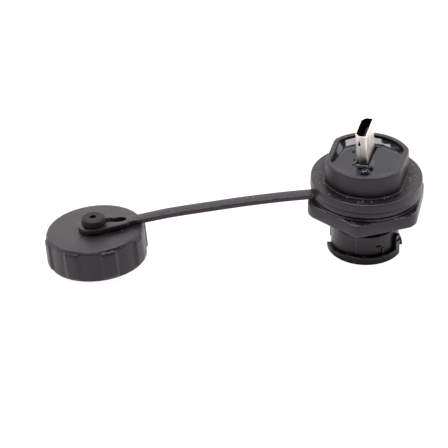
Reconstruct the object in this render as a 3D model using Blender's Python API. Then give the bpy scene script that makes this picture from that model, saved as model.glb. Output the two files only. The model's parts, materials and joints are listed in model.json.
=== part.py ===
"""A bulkhead USB coupler standing on its socket mouth, with its dust cap lying beside it on a tether.

Units are metres, +Z is up and the floor is z = 0.  The origin is under the middle of the whole object.
The receptacle's own axis is vertical, at RECEPTACLE_X.  +X runs along the tether, from cap to receptacle.
"""

from math import acos, atan, atan2, ceil, cos, hypot, pi, radians, sin, sqrt, tan

import bmesh
import bpy
from mathutils import Matrix, Vector

MM = 0.001
FULL_TURN = 2 * pi
SHARP_ANGLE = radians(32)
TINY = 1e-6

# Small fits that many pieces share
SINK = 0.3 * MM
CLEARANCE = 0.1 * MM

# Places along X
RECEPTACLE_X = 28.05 * MM
CAP_X = RECEPTACLE_X - 58.2 * MM
CAP_Y = -0.33 * MM

# Receptacle housing: a round body with a flange, a thread and a bayonet barrel, and a flatted cup behind
CUP_RADIUS = 9.35 * MM
CUP_HALF_WIDTH = 8.2 * MM
CUP_WALL = 1.15 * MM
CUP_TOP = 22.8 * MM
CUP_TURN = radians(-20.5)
FLANGE_TOP = 17.75 * MM
FLANGE_BOTTOM = 15.7 * MM
FLANGE_RADIUS = 11.9 * MM
FLANGE_LOWER_RADIUS = 12.0 * MM
BOARD_LEDGE = 17.9 * MM
CAVITY_RADIUS = 6.8 * MM
PARTITION_TOP = 12.5 * MM
PARTITION_BOTTOM = 11.0 * MM
BORE_RADIUS = 6.0 * MM
BARREL_RADIUS = 7.25 * MM
NECK_RADIUS = 6.75 * MM
NECK_BOTTOM = 6.5 * MM
NECK_TOP = 7.6 * MM
EDGE = 0.25 * MM

# Mounting thread, M18 x 1
THREAD_CREST = 9.0 * MM
THREAD_ROOT = 8.4 * MM
THREAD_PITCH = 1.0 * MM
THREAD_BOTTOM = 8.6 * MM
THREAD_TOP = 15.2 * MM
THREAD_STEPS = 24
THREAD_FADE_STEPS = 6
THREAD_LEAST_FADE = 0.02
THREAD_SECTION = ((0, -0.40), (1, -0.07), (1, 0.07), (0, 0.40))

# Bayonet ridges, their stop walls and detents
RIDGE_RADIUS = 8.1 * MM
RIDGE_LOW = 0.6 * MM
RIDGE_HIGH = 1.8 * MM
RIDGE_START = radians(-31)
RIDGE_END = radians(-186)
RIDGE_RAMP = radians(65)
RIDGE_STEPS = 30
STOP_STEP = radians(0.4)
STOP_WIDTH = radians(11)
STOP_HEIGHT = 5.0 * MM
DETENT_ANGLE = radians(-65)
DETENT_WIDTH = radians(3.5)
DETENT_HEIGHT = 3.4 * MM
DETENT_RADIUS = 7.5 * MM

# Pieces inside the receptacle
BOARD_THICKNESS = 1.2 * MM
POTTING_TOP = 21.3 * MM
POTTING_GAP = 0.12 * MM
INSERT_BOTTOM = 9.0 * MM
INSERT_TOP = 10.85 * MM
SEAL_THICKNESS = 0.8 * MM
SEAL_INNER_RADIUS = 4.9 * MM

# USB receptacles, front and rear
SHELL_WIDTH = 7.5 * MM
SHELL_HEIGHT = 2.5 * MM
SHELL_CHAMFER_WIDTH = 1.0 * MM
SHELL_CHAMFER_HEIGHT = 0.85 * MM
SHELL_WALL = 0.26 * MM
SHELL_CORNER = 0.3 * MM
SHELL_SLANT = 0.4
SHELL_SLOT = (SHELL_HEIGHT / 2 + 0.35 * MM, SHELL_WIDTH / 2 + 0.35 * MM)
REAR_SHELL_BASE = Vector((0.03, 1.78, 19.55)) * MM
REAR_SHELL_LENGTH = 9.1 * MM
REAR_SHELL_LEAN = radians(-4.2)
FRONT_SHELL_TOP = 17.7 * MM
FRONT_SHELL_LENGTH = 11.2 * MM
TONGUE_WIDTH = 4.3 * MM
TONGUE_THICKNESS = 0.7 * MM
TONGUE_RECESS = 1.2 * MM
TONGUE_OFFSET = 0.2 * MM
CONTACT_COUNT = 5
CONTACT_SPACING = 0.65 * MM
CONTACT_WIDTH = 0.32 * MM
CONTACT_THICKNESS = 0.15 * MM
CONTACT_GAP = 0.04 * MM
CONTACT_RECESS = 1.6 * MM
CONTACT_BEND = 0.5 * MM
CONTACT_TIP = 0.1 * MM

# Hex nut and gasket
NUT_ACROSS_FLATS = 23.5 * MM
NUT_CORNER_RADIUS = 3.0 * MM
NUT_CORNER_SLOPE = 0.25
NUT_CHAMFER = 0.5 * MM
NUT_TOP = 13.5 * MM
NUT_BOTTOM = 10.3 * MM
NUT_BORE = 9.25 * MM
NUT_TURN = radians(13.5)
GASKET_RADIUS = 11.75 * MM
GASKET_INNER_RADIUS = 9.3 * MM
GASKET_BOTTOM = 13.6 * MM
GASKET_TOP = 14.05 * MM

# Tether: a ring round the receptacle, a flexible strap and an eye round the cap's pin
RING_RADIUS = 11.85 * MM
RING_INNER_RADIUS = 9.3 * MM
RING_TOP = 15.6 * MM
RING_BOTTOM = 14.45 * MM
STRAP_WIDTH = 2.4 * MM
STRAP_THICKNESS = 1.1 * MM
STRAP_STEP = 1.5 * MM
BEND_GAP = 0.2 * MM
BEND_TIP = 0.12 * MM
BEND_TAPER = 0.45 * MM
ROOT_OVERLAP = 0.8 * MM
ROOT_BEND = 15.5 * MM
MIDDLE_BEND = 33.0 * MM
EYE_BEND = 50.2 * MM
STRAP_ROUTE = (
    (11.2, -1.75, 14.85),
    (15.5, -1.58, 14.58),
    (20.0, -1.32, 14.15),
    (25.7, -0.95, 13.45),
    (33.0, -0.60, 12.45),
    (42.3, -0.38, 11.20),
    (50.2, -0.33, 10.05),
)

# Cap: a shallow cup that lies tilted, with grip ribs, bayonet lugs, a face seal and a pin
CAP_LEAN_X = radians(-5.04)
CAP_LEAN_Y = radians(-5.24)
CAP_DEPTH = 7.08 * MM
CAP_DISC_RADIUS = 10.1 * MM
CAP_RADIUS = 10.46 * MM
CAP_WALL = 1.5 * MM
CAP_ROOF = 1.5 * MM
CAP_ROUNDING = 0.35 * MM
CAP_SIDE_TOP = -1.2 * MM
CAP_STEPS = 64
RIB_COUNT = 8
RIB_RADIUS = 10.9 * MM
RIB_HALF_WIDTH = radians(11.5)
RIB_FIRST = radians(12.5)
RIB_TOP = -0.5 * MM
RIB_BOTTOM = -6.7 * MM
RIB_FLANK = radians(5)
RIB_SINK = 0.6 * MM
LUG_COUNT = 2
LUG_INNER_RADIUS = 7.55 * MM
LUG_HALF_WIDTH = radians(9)
LUG_HEIGHT = 1.3 * MM
LUG_SINK = 0.5 * MM
CAP_SEAL_RADIUS = 8.6 * MM
CAP_SEAL_INNER = 5.6 * MM
CAP_SEAL_THICKNESS = 0.9 * MM
PIN_HEAD_RADIUS = 2.62 * MM
PIN_HEAD_BOTTOM = 1.45 * MM
PIN_HEAD_TOP = 2.95 * MM
PIN_RADIUS = 1.5 * MM
PIN_HOLE_RADIUS = 0.68 * MM
PIN_HOLE_DEPTH = 1.8 * MM
PIN_SEAT_RADIUS = 1.6 * MM
PIN_SEAT_DEPTH = 1.1 * MM
PIN_DISH = 0.15 * MM
PIN_DISH_WIDTH = 0.5 * MM
PIN_EDGE = 0.3 * MM
EYE_RADIUS = 3.45 * MM
EYE_BORE = 1.75 * MM
EYE_BOTTOM = 0.3 * MM
EYE_TOP = 1.3 * MM
EYE_SLOT = 1.0 * MM
EYE_RELIEF_RADIUS = 1.1 * MM
EYE_RELIEF_X = 5.6 * MM
EYE_NECK_RADIUS = 2.15 * MM
EYE_NECK_X = EYE_RELIEF_X + 0.2 * MM
EYE_NECK_START = radians(38)
EYE_NECK_STRAIGHT = 0.4 * MM
CAP_TO_BEND = 8.0 * MM


# ---------------------------------------------------------------- scene, materials and axes

def clear_scene():
    for item in list(bpy.data.objects):
        bpy.data.objects.remove(item, do_unlink=True)


def material(name, colour, roughness, metallic=0.0):
    made = bpy.data.materials.new(name)
    made.use_nodes = True
    shader = made.node_tree.nodes["Principled BSDF"]
    shader.inputs["Base Color"].default_value = (*colour, 1.0)
    shader.inputs["Roughness"].default_value = roughness
    shader.inputs["Metallic"].default_value = metallic
    return made


def axis_empty(name, location, rotation=None):
    """An empty that carries the pieces of one axis."""
    empty = bpy.data.objects.new(name, None)
    bpy.context.collection.objects.link(empty)
    turn = rotation or Matrix.Identity(3)
    empty.matrix_world = Matrix.Translation(location) @ turn.to_4x4()
    return empty


def add_object(name, shape, finish, parent, turn=0.0):
    """Make an object of a bmesh whose coordinates are relative to its parent axis."""
    bmesh.ops.recalc_face_normals(shape, faces=shape.faces)
    mesh = bpy.data.meshes.new(name)
    shape.to_mesh(mesh)
    shape.free()
    mesh.shade_smooth()
    mesh.set_sharp_from_angle(angle=SHARP_ANGLE)
    made = bpy.data.objects.new(name, mesh)
    bpy.context.collection.objects.link(made)
    mesh.materials.append(finish)
    made.parent = parent
    made.rotation_euler.z = turn
    return made


def combine(target, tool, operation):
    """Cut, or join, a target with a tool that is only a guide."""
    tool.hide_render = True
    tool.display_type = "WIRE"
    boolean = target.modifiers.new(operation.title(), "BOOLEAN")
    boolean.operation = operation
    boolean.solver = "EXACT"
    boolean.object = tool


# ---------------------------------------------------------------- outlines and skins

def even_angles(count):
    return [FULL_TURN * step / count for step in range(count)]


def flatted_angles(corner, flat_steps, arc_steps):
    """Angles round a circle with a flat on each side, with a point on every corner."""
    half = []
    for step in range(flat_steps):
        half.append(atan(tan(corner) * (2 * step / flat_steps - 1)))
    for step in range(arc_steps):
        half.append(corner + (pi - 2 * corner) * step / arc_steps)
    return half + [angle + pi for angle in half]


def circle(radius, z, angles):
    return [(radius * cos(angle), radius * sin(angle), z) for angle in angles]


def flatted(radius, half_width, z, angles):
    """A circle cut off at x = +half_width and -half_width."""
    loop = []
    for angle in angles:
        reach = min(radius, half_width / max(abs(cos(angle)), TINY))
        loop.append((reach * cos(angle), reach * sin(angle), z))
    return loop


def boxed(half_x, half_y, z, angles, centre=(0.0, 0.0)):
    """A rectangular slot, with a point in the direction of each angle."""
    loop = []
    for angle in angles:
        reach = min(half_x / max(abs(cos(angle)), TINY), half_y / max(abs(sin(angle)), TINY))
        loop.append((centre[0] + reach * cos(angle), centre[1] + reach * sin(angle), z))
    return loop


def skin(shape, loops, closed=False):
    """Join loops of equal length into one skin, capped at its ends or closed on itself."""
    rings = [[shape.verts.new(point) for point in loop] for loop in loops]
    pairs = list(zip(rings, rings[1:]))
    if closed:
        pairs.append((rings[-1], rings[0]))
    for lower, upper in pairs:
        for here in range(len(lower)):
            after = (here + 1) % len(lower)
            shape.faces.new((lower[here], lower[after], upper[after], upper[here]))
    if not closed:
        shape.faces.new(rings[0][::-1])
        shape.faces.new(rings[-1])
    return shape


def turned_ring(profile, angles):
    """A ring turned from a closed (radius, z) profile."""
    return skin(bmesh.new(), [circle(radius, z, angles) for radius, z in profile], closed=True)


def prism(outline, bottom, top):
    """An outline of (x, y) points, raised from bottom to top."""
    return skin(bmesh.new(), [[(x, y, z) for x, y in outline] for z in (bottom, top)])


def arc(centre_x, centre_y, radius, start, end, steps):
    points = []
    for step in range(steps + 1):
        angle = start + (end - start) * step / steps
        points.append((centre_x + radius * cos(angle), centre_y + radius * sin(angle)))
    return points


def add_arc_block(shape, inner, outer, bottom, tops):
    """A curved block between two radii; tops lists (angle, top height) along its length."""
    loops = []
    for angle, top in tops:
        loops.append([
            (inner * cos(angle), inner * sin(angle), bottom),
            (outer * cos(angle), outer * sin(angle), bottom),
            (outer * cos(angle), outer * sin(angle), top),
            (inner * cos(angle), inner * sin(angle), top),
        ])
    skin(shape, loops)


def level_tops(start, end, top, steps):
    return [(start + (end - start) * step / steps, top) for step in range(steps + 1)]


# ---------------------------------------------------------------- receptacle

def housing_angles():
    return flatted_angles(acos(CUP_HALF_WIDTH / CUP_RADIUS), 4, 26)


def cup_inside():
    """Radius and half width of the cup's inner wall, which keeps the outer corners' directions."""
    radius = CUP_RADIUS - CUP_WALL
    return radius, radius * CUP_HALF_WIDTH / CUP_RADIUS


def housing_skin():
    angles = housing_angles()
    inner_radius, inner_half = cup_inside()
    loops = [
        flatted(CUP_RADIUS - EDGE, CUP_HALF_WIDTH - EDGE, CUP_TOP, angles),
        flatted(CUP_RADIUS, CUP_HALF_WIDTH, CUP_TOP - EDGE, angles),
        flatted(CUP_RADIUS, CUP_HALF_WIDTH, FLANGE_TOP, angles),
        circle(FLANGE_RADIUS - EDGE, FLANGE_TOP, angles),
        circle(FLANGE_RADIUS, FLANGE_TOP - EDGE, angles),
        circle(FLANGE_LOWER_RADIUS, FLANGE_BOTTOM, angles),
        circle(THREAD_ROOT, FLANGE_BOTTOM, angles),
        circle(THREAD_ROOT, NECK_TOP + 2 * EDGE, angles),
        circle(NECK_RADIUS, NECK_TOP, angles),
        circle(NECK_RADIUS, NECK_BOTTOM, angles),
        circle(BARREL_RADIUS - EDGE, NECK_BOTTOM, angles),
        circle(BARREL_RADIUS, NECK_BOTTOM - EDGE, angles),
        circle(BARREL_RADIUS, 0.0, angles),
        circle(BORE_RADIUS + EDGE, 0.0, angles),
        circle(BORE_RADIUS, EDGE, angles),
        circle(BORE_RADIUS, PARTITION_BOTTOM, angles),
        boxed(*SHELL_SLOT, PARTITION_BOTTOM, angles),
        boxed(*SHELL_SLOT, PARTITION_TOP, angles),
        circle(CAVITY_RADIUS, PARTITION_TOP, angles),
        circle(CAVITY_RADIUS, BOARD_LEDGE, angles),
        flatted(inner_radius, inner_half, BOARD_LEDGE, angles),
        flatted(inner_radius, inner_half, CUP_TOP - EDGE, angles),
    ]
    return skin(bmesh.new(), loops, closed=True)


def thread_ridge():
    """One helical ridge, with both ends sunk into the core."""
    shape = bmesh.new()
    turns = (THREAD_TOP - THREAD_BOTTOM) / THREAD_PITCH
    steps = ceil(turns * THREAD_STEPS)
    sunk = THREAD_ROOT - SINK
    loops = []
    for step in range(steps + 1):
        angle = FULL_TURN * turns * step / steps
        height = THREAD_BOTTOM + THREAD_PITCH * angle / FULL_TURN
        fade = min(THREAD_FADE_STEPS, step, steps - step) / THREAD_FADE_STEPS
        crest = THREAD_ROOT + (THREAD_CREST - THREAD_ROOT) * max(fade, THREAD_LEAST_FADE)
        loop = []
        for share, rise in THREAD_SECTION:
            radius = sunk + (crest - sunk) * share
            loop.append((radius * cos(angle), radius * sin(angle), height + rise * THREAD_PITCH))
        loops.append(loop)
    return skin(shape, loops)


def bayonet_ridges():
    """Two ramped ridges, each with a stop wall at its high end."""
    shape = bmesh.new()
    sunk = BARREL_RADIUS - SINK
    for half_turn in (0.0, pi):
        start = RIDGE_START + half_turn
        wall_end = start - STOP_WIDTH
        end = RIDGE_END + half_turn
        tops = level_tops(start, wall_end, STOP_HEIGHT, 3)
        for step in range(RIDGE_STEPS + 1):
            angle = wall_end - STOP_STEP + (end - wall_end) * step / RIDGE_STEPS
            share = min(1.0, (angle - end + STOP_STEP) / RIDGE_RAMP)
            tops.append((angle, RIDGE_LOW + (RIDGE_HIGH - RIDGE_LOW) * share))
        add_arc_block(shape, sunk, RIDGE_RADIUS, 0.0, tops)
    return shape


def detent_ribs():
    """A low upright rib before each stop wall, which holds the turned plug."""
    shape = bmesh.new()
    for half_turn in (0.0, pi):
        start = DETENT_ANGLE + half_turn
        tops = level_tops(start, start - DETENT_WIDTH, DETENT_HEIGHT, 2)
        add_arc_block(shape, BARREL_RADIUS - SINK, DETENT_RADIUS, RIDGE_LOW, tops)
    return shape


def make_housing(axis, nylon):
    housing = add_object("receptacle_housing", housing_skin(), nylon, axis, CUP_TURN)
    ridges = add_object("bayonet_guide", bayonet_ridges(), nylon, axis)
    thread = add_object("thread_guide", thread_ridge(), nylon, axis)
    detents = add_object("detent_guide", detent_ribs(), nylon, axis)
    combine(housing, ridges, "UNION")
    combine(housing, detents, "UNION")
    combine(housing, thread, "UNION")


def potting_loop(z, angles):
    radius, half_width = cup_inside()
    return flatted(radius - POTTING_GAP, half_width - POTTING_GAP, z, angles)


def make_potting(axis, epoxy):
    """The resin over the board, with a slot where the rear shell passes through."""
    angles = housing_angles()
    bottom = BOARD_LEDGE + BOARD_THICKNESS + 2 * POTTING_GAP
    slot_centre = Matrix.Rotation(-CUP_TURN, 2) @ REAR_SHELL_BASE.xy
    loops = [
        potting_loop(bottom, angles),
        potting_loop(POTTING_TOP, angles),
        boxed(*SHELL_SLOT, POTTING_TOP, angles, slot_centre),
        boxed(*SHELL_SLOT, bottom, angles, slot_centre),
    ]
    add_object("potting_compound", skin(bmesh.new(), loops, closed=True), epoxy, axis, CUP_TURN)


def make_board(axis, laminate):
    angles = housing_angles()
    bottom = BOARD_LEDGE + POTTING_GAP
    loops = [potting_loop(z, angles) for z in (bottom, bottom + BOARD_THICKNESS)]
    add_object("adapter_board", skin(bmesh.new(), loops), laminate, axis, CUP_TURN)


def make_front_insert(axis, nylon, rubber):
    """The moulded face round the front shell, and the seal ring that lies on it."""
    angles = even_angles(48)
    outer = BORE_RADIUS - CLEARANCE
    loops = [
        circle(outer, INSERT_TOP, angles),
        circle(outer, INSERT_BOTTOM, angles),
        boxed(*SHELL_SLOT, INSERT_BOTTOM, angles),
        boxed(*SHELL_SLOT, INSERT_TOP, angles),
    ]
    add_object("front_insert", skin(bmesh.new(), loops, closed=True), nylon, axis, CUP_TURN)
    middle = (outer + SEAL_INNER_RADIUS) / 2
    half = (outer - SEAL_INNER_RADIUS) / 2
    centre = INSERT_BOTTOM - CLEARANCE - SEAL_THICKNESS / 2
    profile = []
    for angle in even_angles(8):
        profile.append((middle + half * cos(angle), centre + SEAL_THICKNESS / 2 * sin(angle)))
    add_object("mouth_seal", turned_ring(profile, angles), rubber, axis)


# ---------------------------------------------------------------- USB receptacles

def shell_outline(inset):
    """The trapezoid of a small USB shell: wide on its +Y side, chamfered on its -Y side."""
    half = SHELL_WIDTH / 2 - inset
    top = SHELL_HEIGHT / 2 - inset
    slant = inset * SHELL_SLANT
    chamfer_x = half - SHELL_CHAMFER_WIDTH + slant
    chamfer_y = -top + SHELL_CHAMFER_HEIGHT - slant
    right = [
        (half - SHELL_CORNER, top),
        (half, top - SHELL_CORNER),
        (half, chamfer_y),
        (chamfer_x, -top),
    ]
    left = [(-x, y) for x, y in reversed(right)]
    return right + left


def make_usb(prefix, axis, length, metals, insulator):
    """A thin shell, its tongue and five spring contacts, rising from z = 0 along the axis."""
    steel, gold = metals
    outer = shell_outline(0.0)
    inner = shell_outline(SHELL_WALL)
    loops = [
        [(x, y, 0.0) for x, y in outer],
        [(x, y, length) for x, y in outer],
        [(x, y, length) for x, y in inner],
        [(x, y, 0.0) for x, y in inner],
    ]
    add_object(prefix + "_usb_shell", skin(bmesh.new(), loops, closed=True), steel, axis)
    back = TONGUE_OFFSET
    front = back + TONGUE_THICKNESS
    half = TONGUE_WIDTH / 2
    outline = [(-half, back), (half, back), (half, front), (-half, front)]
    tongue = prism(outline, CLEARANCE, length - TONGUE_RECESS)
    add_object(prefix + "_usb_tongue", tongue, insulator, axis)
    for index in range(CONTACT_COUNT):
        x = (index - (CONTACT_COUNT - 1) / 2) * CONTACT_SPACING
        make_contact(f"{prefix}_usb_contact_{index + 1}", axis, x, length, gold)


def make_contact(name, axis, x, length, gold):
    """A strip along the tongue's open face, bent in at its tip."""
    top = TONGUE_OFFSET - CONTACT_GAP
    low = top - CONTACT_THICKNESS
    tip = length - CONTACT_RECESS
    bend = tip - CONTACT_BEND
    profile = [(low, CLEARANCE), (low, bend), (top - CONTACT_TIP, tip), (top, tip), (top, CLEARANCE)]
    loops = []
    for side in (-CONTACT_WIDTH / 2, CONTACT_WIDTH / 2):
        loops.append([(x + side, y, z) for y, z in profile])
    add_object(name, skin(bmesh.new(), loops), gold, axis)


# ---------------------------------------------------------------- nut and gasket

def hexagon_corner():
    """Where a rounded corner's own centre lies, and the half angle that its arc spans from the axis."""
    centre = (NUT_ACROSS_FLATS / 2 - NUT_CORNER_RADIUS) / cos(pi / 6)
    half = atan2(NUT_CORNER_RADIUS / 2, centre + NUT_CORNER_RADIUS * cos(pi / 6))
    return centre, half


def hexagon_angles():
    """Angles round the nut, with a point where each rounded corner starts and ends."""
    half = hexagon_corner()[1]
    angles = []
    for side in range(6):
        corner = FULL_TURN * side / 6
        angles += [corner + half * (step / 3 - 1) for step in range(6)]
        angles += [corner + half + (pi / 3 - 2 * half) * step / 6 for step in range(6)]
    return angles


def hexagon(inset, z, angles, corner_drop=0.0):
    """The nut's outline; corner_drop is how much lower, per metre of reach, a chamfered corner lies."""
    centre, half = hexagon_corner()
    loop = []
    for angle in angles:
        off = (angle + pi / 6) % (pi / 3) - pi / 6
        if abs(off) <= half:
            reach = centre * cos(off) + sqrt(NUT_CORNER_RADIUS ** 2 - (centre * sin(off)) ** 2)
        else:
            reach = NUT_ACROSS_FLATS / 2 / cos(pi / 6 - abs(off))
        drop = corner_drop * (reach - NUT_ACROSS_FLATS / 2)
        loop.append(((reach - inset) * cos(angle), (reach - inset) * sin(angle), z - drop))
    return loop


def make_nut(axis, nylon):
    """A hexagon with large rounded corners and chamfered edges, on a plain bore."""
    angles = hexagon_angles()
    loops = [
        hexagon(NUT_CHAMFER, NUT_BOTTOM, angles),
        hexagon(0.0, NUT_BOTTOM + EDGE / 2, angles, -NUT_CORNER_SLOPE),
        hexagon(0.0, NUT_TOP - EDGE / 2, angles, NUT_CORNER_SLOPE),
        hexagon(NUT_CHAMFER, NUT_TOP, angles),
        circle(NUT_BORE + EDGE, NUT_TOP, angles),
        circle(NUT_BORE, NUT_TOP - EDGE, angles),
        circle(NUT_BORE, NUT_BOTTOM + EDGE, angles),
        circle(NUT_BORE + EDGE, NUT_BOTTOM, angles),
    ]
    add_object("panel_nut", skin(bmesh.new(), loops, closed=True), nylon, axis, NUT_TURN)


def make_gasket(axis, rubber):
    profile = [
        (GASKET_RADIUS, GASKET_TOP),
        (GASKET_RADIUS, GASKET_BOTTOM),
        (GASKET_INNER_RADIUS, GASKET_BOTTOM),
        (GASKET_INNER_RADIUS, GASKET_TOP),
    ]
    add_object("panel_gasket", turned_ring(profile, even_angles(48)), rubber, axis)


# ---------------------------------------------------------------- tether

def route_points():
    """The strap's hand-set points, from ring to eye, as offsets in metres from the receptacle's axis."""
    return [Vector((-distance, aside, height)) * MM for distance, aside, height in STRAP_ROUTE]


def route_at(distance):
    """A smooth curve through the route's points, read at a distance from the receptacle."""
    points = route_points()
    spans = list(zip(points, points[1:]))
    index = 0
    while index < len(spans) - 1 and distance > -spans[index][1].x:
        index += 1
    before = points[max(index - 1, 0)]
    start, end = spans[index]
    after = points[min(index + 2, len(points) - 1)]
    width = start.x - end.x
    share = (start.x + distance) / width
    start_slope = (end - before) * (width / (before.x - end.x))
    end_slope = (after - start) * (width / (start.x - after.x))
    square = share * share
    cube = square * share
    place = (2 * cube - 3 * square + 1) * start + (cube - 2 * square + share) * start_slope
    return place + (3 * square - 2 * cube) * end + (cube - square) * end_slope


def strap_section(distance, half_thickness):
    """A rectangular section of the strap, square to the route."""
    ahead = route_at(distance + TINY) - route_at(distance - TINY)
    along = ahead.normalized()
    across = along.cross(Vector((0, 0, 1))).normalized() * STRAP_WIDTH / 2
    up = across.cross(along).normalized() * half_thickness
    place = route_at(distance)
    return [place - across - up, place + across - up, place + across + up, place - across + up]


def strap_loops(start, end, bends_at_start=True):
    """Sections of the strap, thinned like a wedge at each end that bends."""
    first = start + BEND_TAPER if bends_at_start else start
    last = end - BEND_TAPER
    steps = max(2, ceil((last - first) / STRAP_STEP))
    loops = [strap_section(start, BEND_TIP)] if bends_at_start else []
    for step in range(steps + 1):
        loops.append(strap_section(first + (last - first) * step / steps, STRAP_THICKNESS / 2))
    return loops + [strap_section(end, BEND_TIP)]


def make_tether(axis, cap_axis, elastomer):
    profile = [
        (RING_RADIUS, RING_TOP),
        (RING_RADIUS, RING_BOTTOM),
        (RING_INNER_RADIUS, RING_BOTTOM),
        (RING_INNER_RADIUS, RING_TOP),
    ]
    ring = add_object("tether_ring", turned_ring(profile, even_angles(64)), elastomer, axis)
    root_loops = strap_loops(RING_RADIUS - ROOT_OVERLAP, ROOT_BEND - BEND_GAP / 2, bends_at_start=False)
    root = skin(bmesh.new(), root_loops)
    combine(ring, add_object("root_guide", root, elastomer, axis), "UNION")
    spans = (
        ("tether_strap_inner", ROOT_BEND, MIDDLE_BEND),
        ("tether_strap_outer", MIDDLE_BEND, EYE_BEND),
    )
    for name, start, end in spans:
        shape = skin(bmesh.new(), strap_loops(start + BEND_GAP / 2, end - BEND_GAP / 2))
        add_object(name, shape, elastomer, axis)
    make_eye(cap_axis, elastomer)


def eye_outline(neck_x):
    """The eye's outside, from the strap's neck round the pin and back."""
    lean = acos((EYE_RADIUS - EYE_NECK_RADIUS) / EYE_NECK_X)
    half = STRAP_WIDTH / 2
    right = [(neck_x, half), (neck_x - EYE_NECK_STRAIGHT, half)]
    right += arc(EYE_NECK_X, 0.0, EYE_NECK_RADIUS, EYE_NECK_START, lean, 4)
    right += arc(0.0, 0.0, EYE_RADIUS, lean, pi, 12)[:-1]
    left = [(x, -y) for x, y in reversed(right)]
    return right + [(-EYE_RADIUS, 0.0)] + left


def eye_skin():
    """The eye's plate, with a wedge at the end of its neck."""
    middle = (EYE_BOTTOM + EYE_TOP) / 2
    tip = CAP_TO_BEND - BEND_GAP / 2
    levels = (
        (EYE_BOTTOM, tip - BEND_TAPER),
        (middle - BEND_TIP, tip),
        (middle + BEND_TIP, tip),
        (EYE_TOP, tip - BEND_TAPER),
    )
    return skin(bmesh.new(), [[(x, y, z) for x, y in eye_outline(neck_x)] for z, neck_x in levels])


def make_eye(cap_axis, elastomer):
    """The keyhole eye: a hole for the pin, a slot and a round relief hole."""
    eye = add_object("tether_eye", eye_skin(), elastomer, cap_axis)
    meet = atan2(EYE_SLOT / 2, sqrt(EYE_BORE ** 2 - (EYE_SLOT / 2) ** 2))
    relief = atan2(EYE_SLOT / 2, sqrt(EYE_RELIEF_RADIUS ** 2 - (EYE_SLOT / 2) ** 2))
    keyhole = arc(0.0, 0.0, EYE_BORE, meet, FULL_TURN - meet, 24)
    keyhole += arc(EYE_RELIEF_X, 0.0, EYE_RELIEF_RADIUS, relief - pi, pi - relief, 14)
    cutter = prism(keyhole, EYE_BOTTOM - MM, EYE_TOP + MM)
    combine(eye, add_object("keyhole_guide", cutter, elastomer, cap_axis), "DIFFERENCE")


# ---------------------------------------------------------------- cap

def cap_turn():
    """The cap lies with its axis leaning away from the receptacle and a little to +Y."""
    return Matrix.Rotation(CAP_LEAN_Y, 3, "Y") @ Matrix.Rotation(CAP_LEAN_X, 3, "X")


def cap_centre():
    """The centre of the cap's top disc, with the lowest point of its rim on the floor."""
    normal = cap_turn() @ Vector((0, 0, 1))
    tilt = hypot(normal.x, normal.y)
    return Vector((CAP_X, CAP_Y, CAP_DEPTH * normal.z + (CAP_RADIUS - EDGE) * tilt))


def cap_profile():
    inner = CAP_RADIUS - CAP_WALL
    return [
        (CAP_DISC_RADIUS, 0.0),
        (CAP_RADIUS - CLEARANCE, -CAP_ROUNDING),
        (CAP_RADIUS, CAP_SIDE_TOP),
        (CAP_RADIUS, EDGE - CAP_DEPTH),
        (CAP_RADIUS - EDGE, -CAP_DEPTH),
        (inner + EDGE, -CAP_DEPTH),
        (inner, EDGE - CAP_DEPTH),
        (inner, -CAP_ROOF),
    ]


def cap_skin():
    """The cup with a blind seat for the pin in its top."""
    angles = even_angles(CAP_STEPS)
    shape = bmesh.new()
    loops = [circle(PIN_SEAT_RADIUS, -PIN_SEAT_DEPTH, angles), circle(PIN_SEAT_RADIUS, 0.0, angles)]
    loops += [circle(radius, z, angles) for radius, z in cap_profile()]
    return skin(shape, loops)


def grip_ribs_and_lugs():
    """Low grip ribs outside and bayonet lugs inside, all sunk into the wall."""
    shape = bmesh.new()
    for index in range(RIB_COUNT):
        add_rib(shape, RIB_FIRST + FULL_TURN * index / RIB_COUNT)
    wall = CAP_RADIUS - CAP_WALL
    for index in range(LUG_COUNT):
        middle = FULL_TURN * index / LUG_COUNT
        bottom = 2 * EDGE - CAP_DEPTH
        tops = level_tops(middle - LUG_HALF_WIDTH, middle + LUG_HALF_WIDTH, bottom + LUG_HEIGHT, 4)
        add_arc_block(shape, LUG_INNER_RADIUS, wall + LUG_SINK, bottom, tops)
    return shape


def add_rib(shape, middle):
    """One rib whose flanks and ends slope down to the wall."""
    loops = []
    sunk = CAP_RADIUS - RIB_SINK
    foot = CAP_RADIUS - CLEARANCE
    levels = ((RIB_BOTTOM, 0.0), (RIB_BOTTOM + EDGE, 1.0), (RIB_TOP - 2 * EDGE, 1.0), (RIB_TOP, 0.0))
    for z, share in levels:
        half = RIB_HALF_WIDTH - RIB_FLANK * share
        outside = arc(0.0, 0.0, foot + (RIB_RADIUS - foot) * share, middle - half, middle + half, 4)
        inside = arc(0.0, 0.0, sunk, middle + RIB_HALF_WIDTH, middle - RIB_HALF_WIDTH, 4)
        loops.append([(x, y, z) for x, y in outside + inside])
    skin(shape, loops)


def make_cap(axis, nylon, rubber):
    cap = add_object("cap_shell", cap_skin(), nylon, axis)
    combine(cap, add_object("grip_guide", grip_ribs_and_lugs(), nylon, axis), "UNION")
    seal_top = -CAP_ROOF - CLEARANCE
    profile = [
        (CAP_SEAL_RADIUS, seal_top),
        (CAP_SEAL_RADIUS, seal_top - CAP_SEAL_THICKNESS),
        (CAP_SEAL_INNER, seal_top - CAP_SEAL_THICKNESS),
        (CAP_SEAL_INNER, seal_top),
    ]
    add_object("cap_seal", turned_ring(profile, even_angles(48)), rubber, axis)


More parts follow.
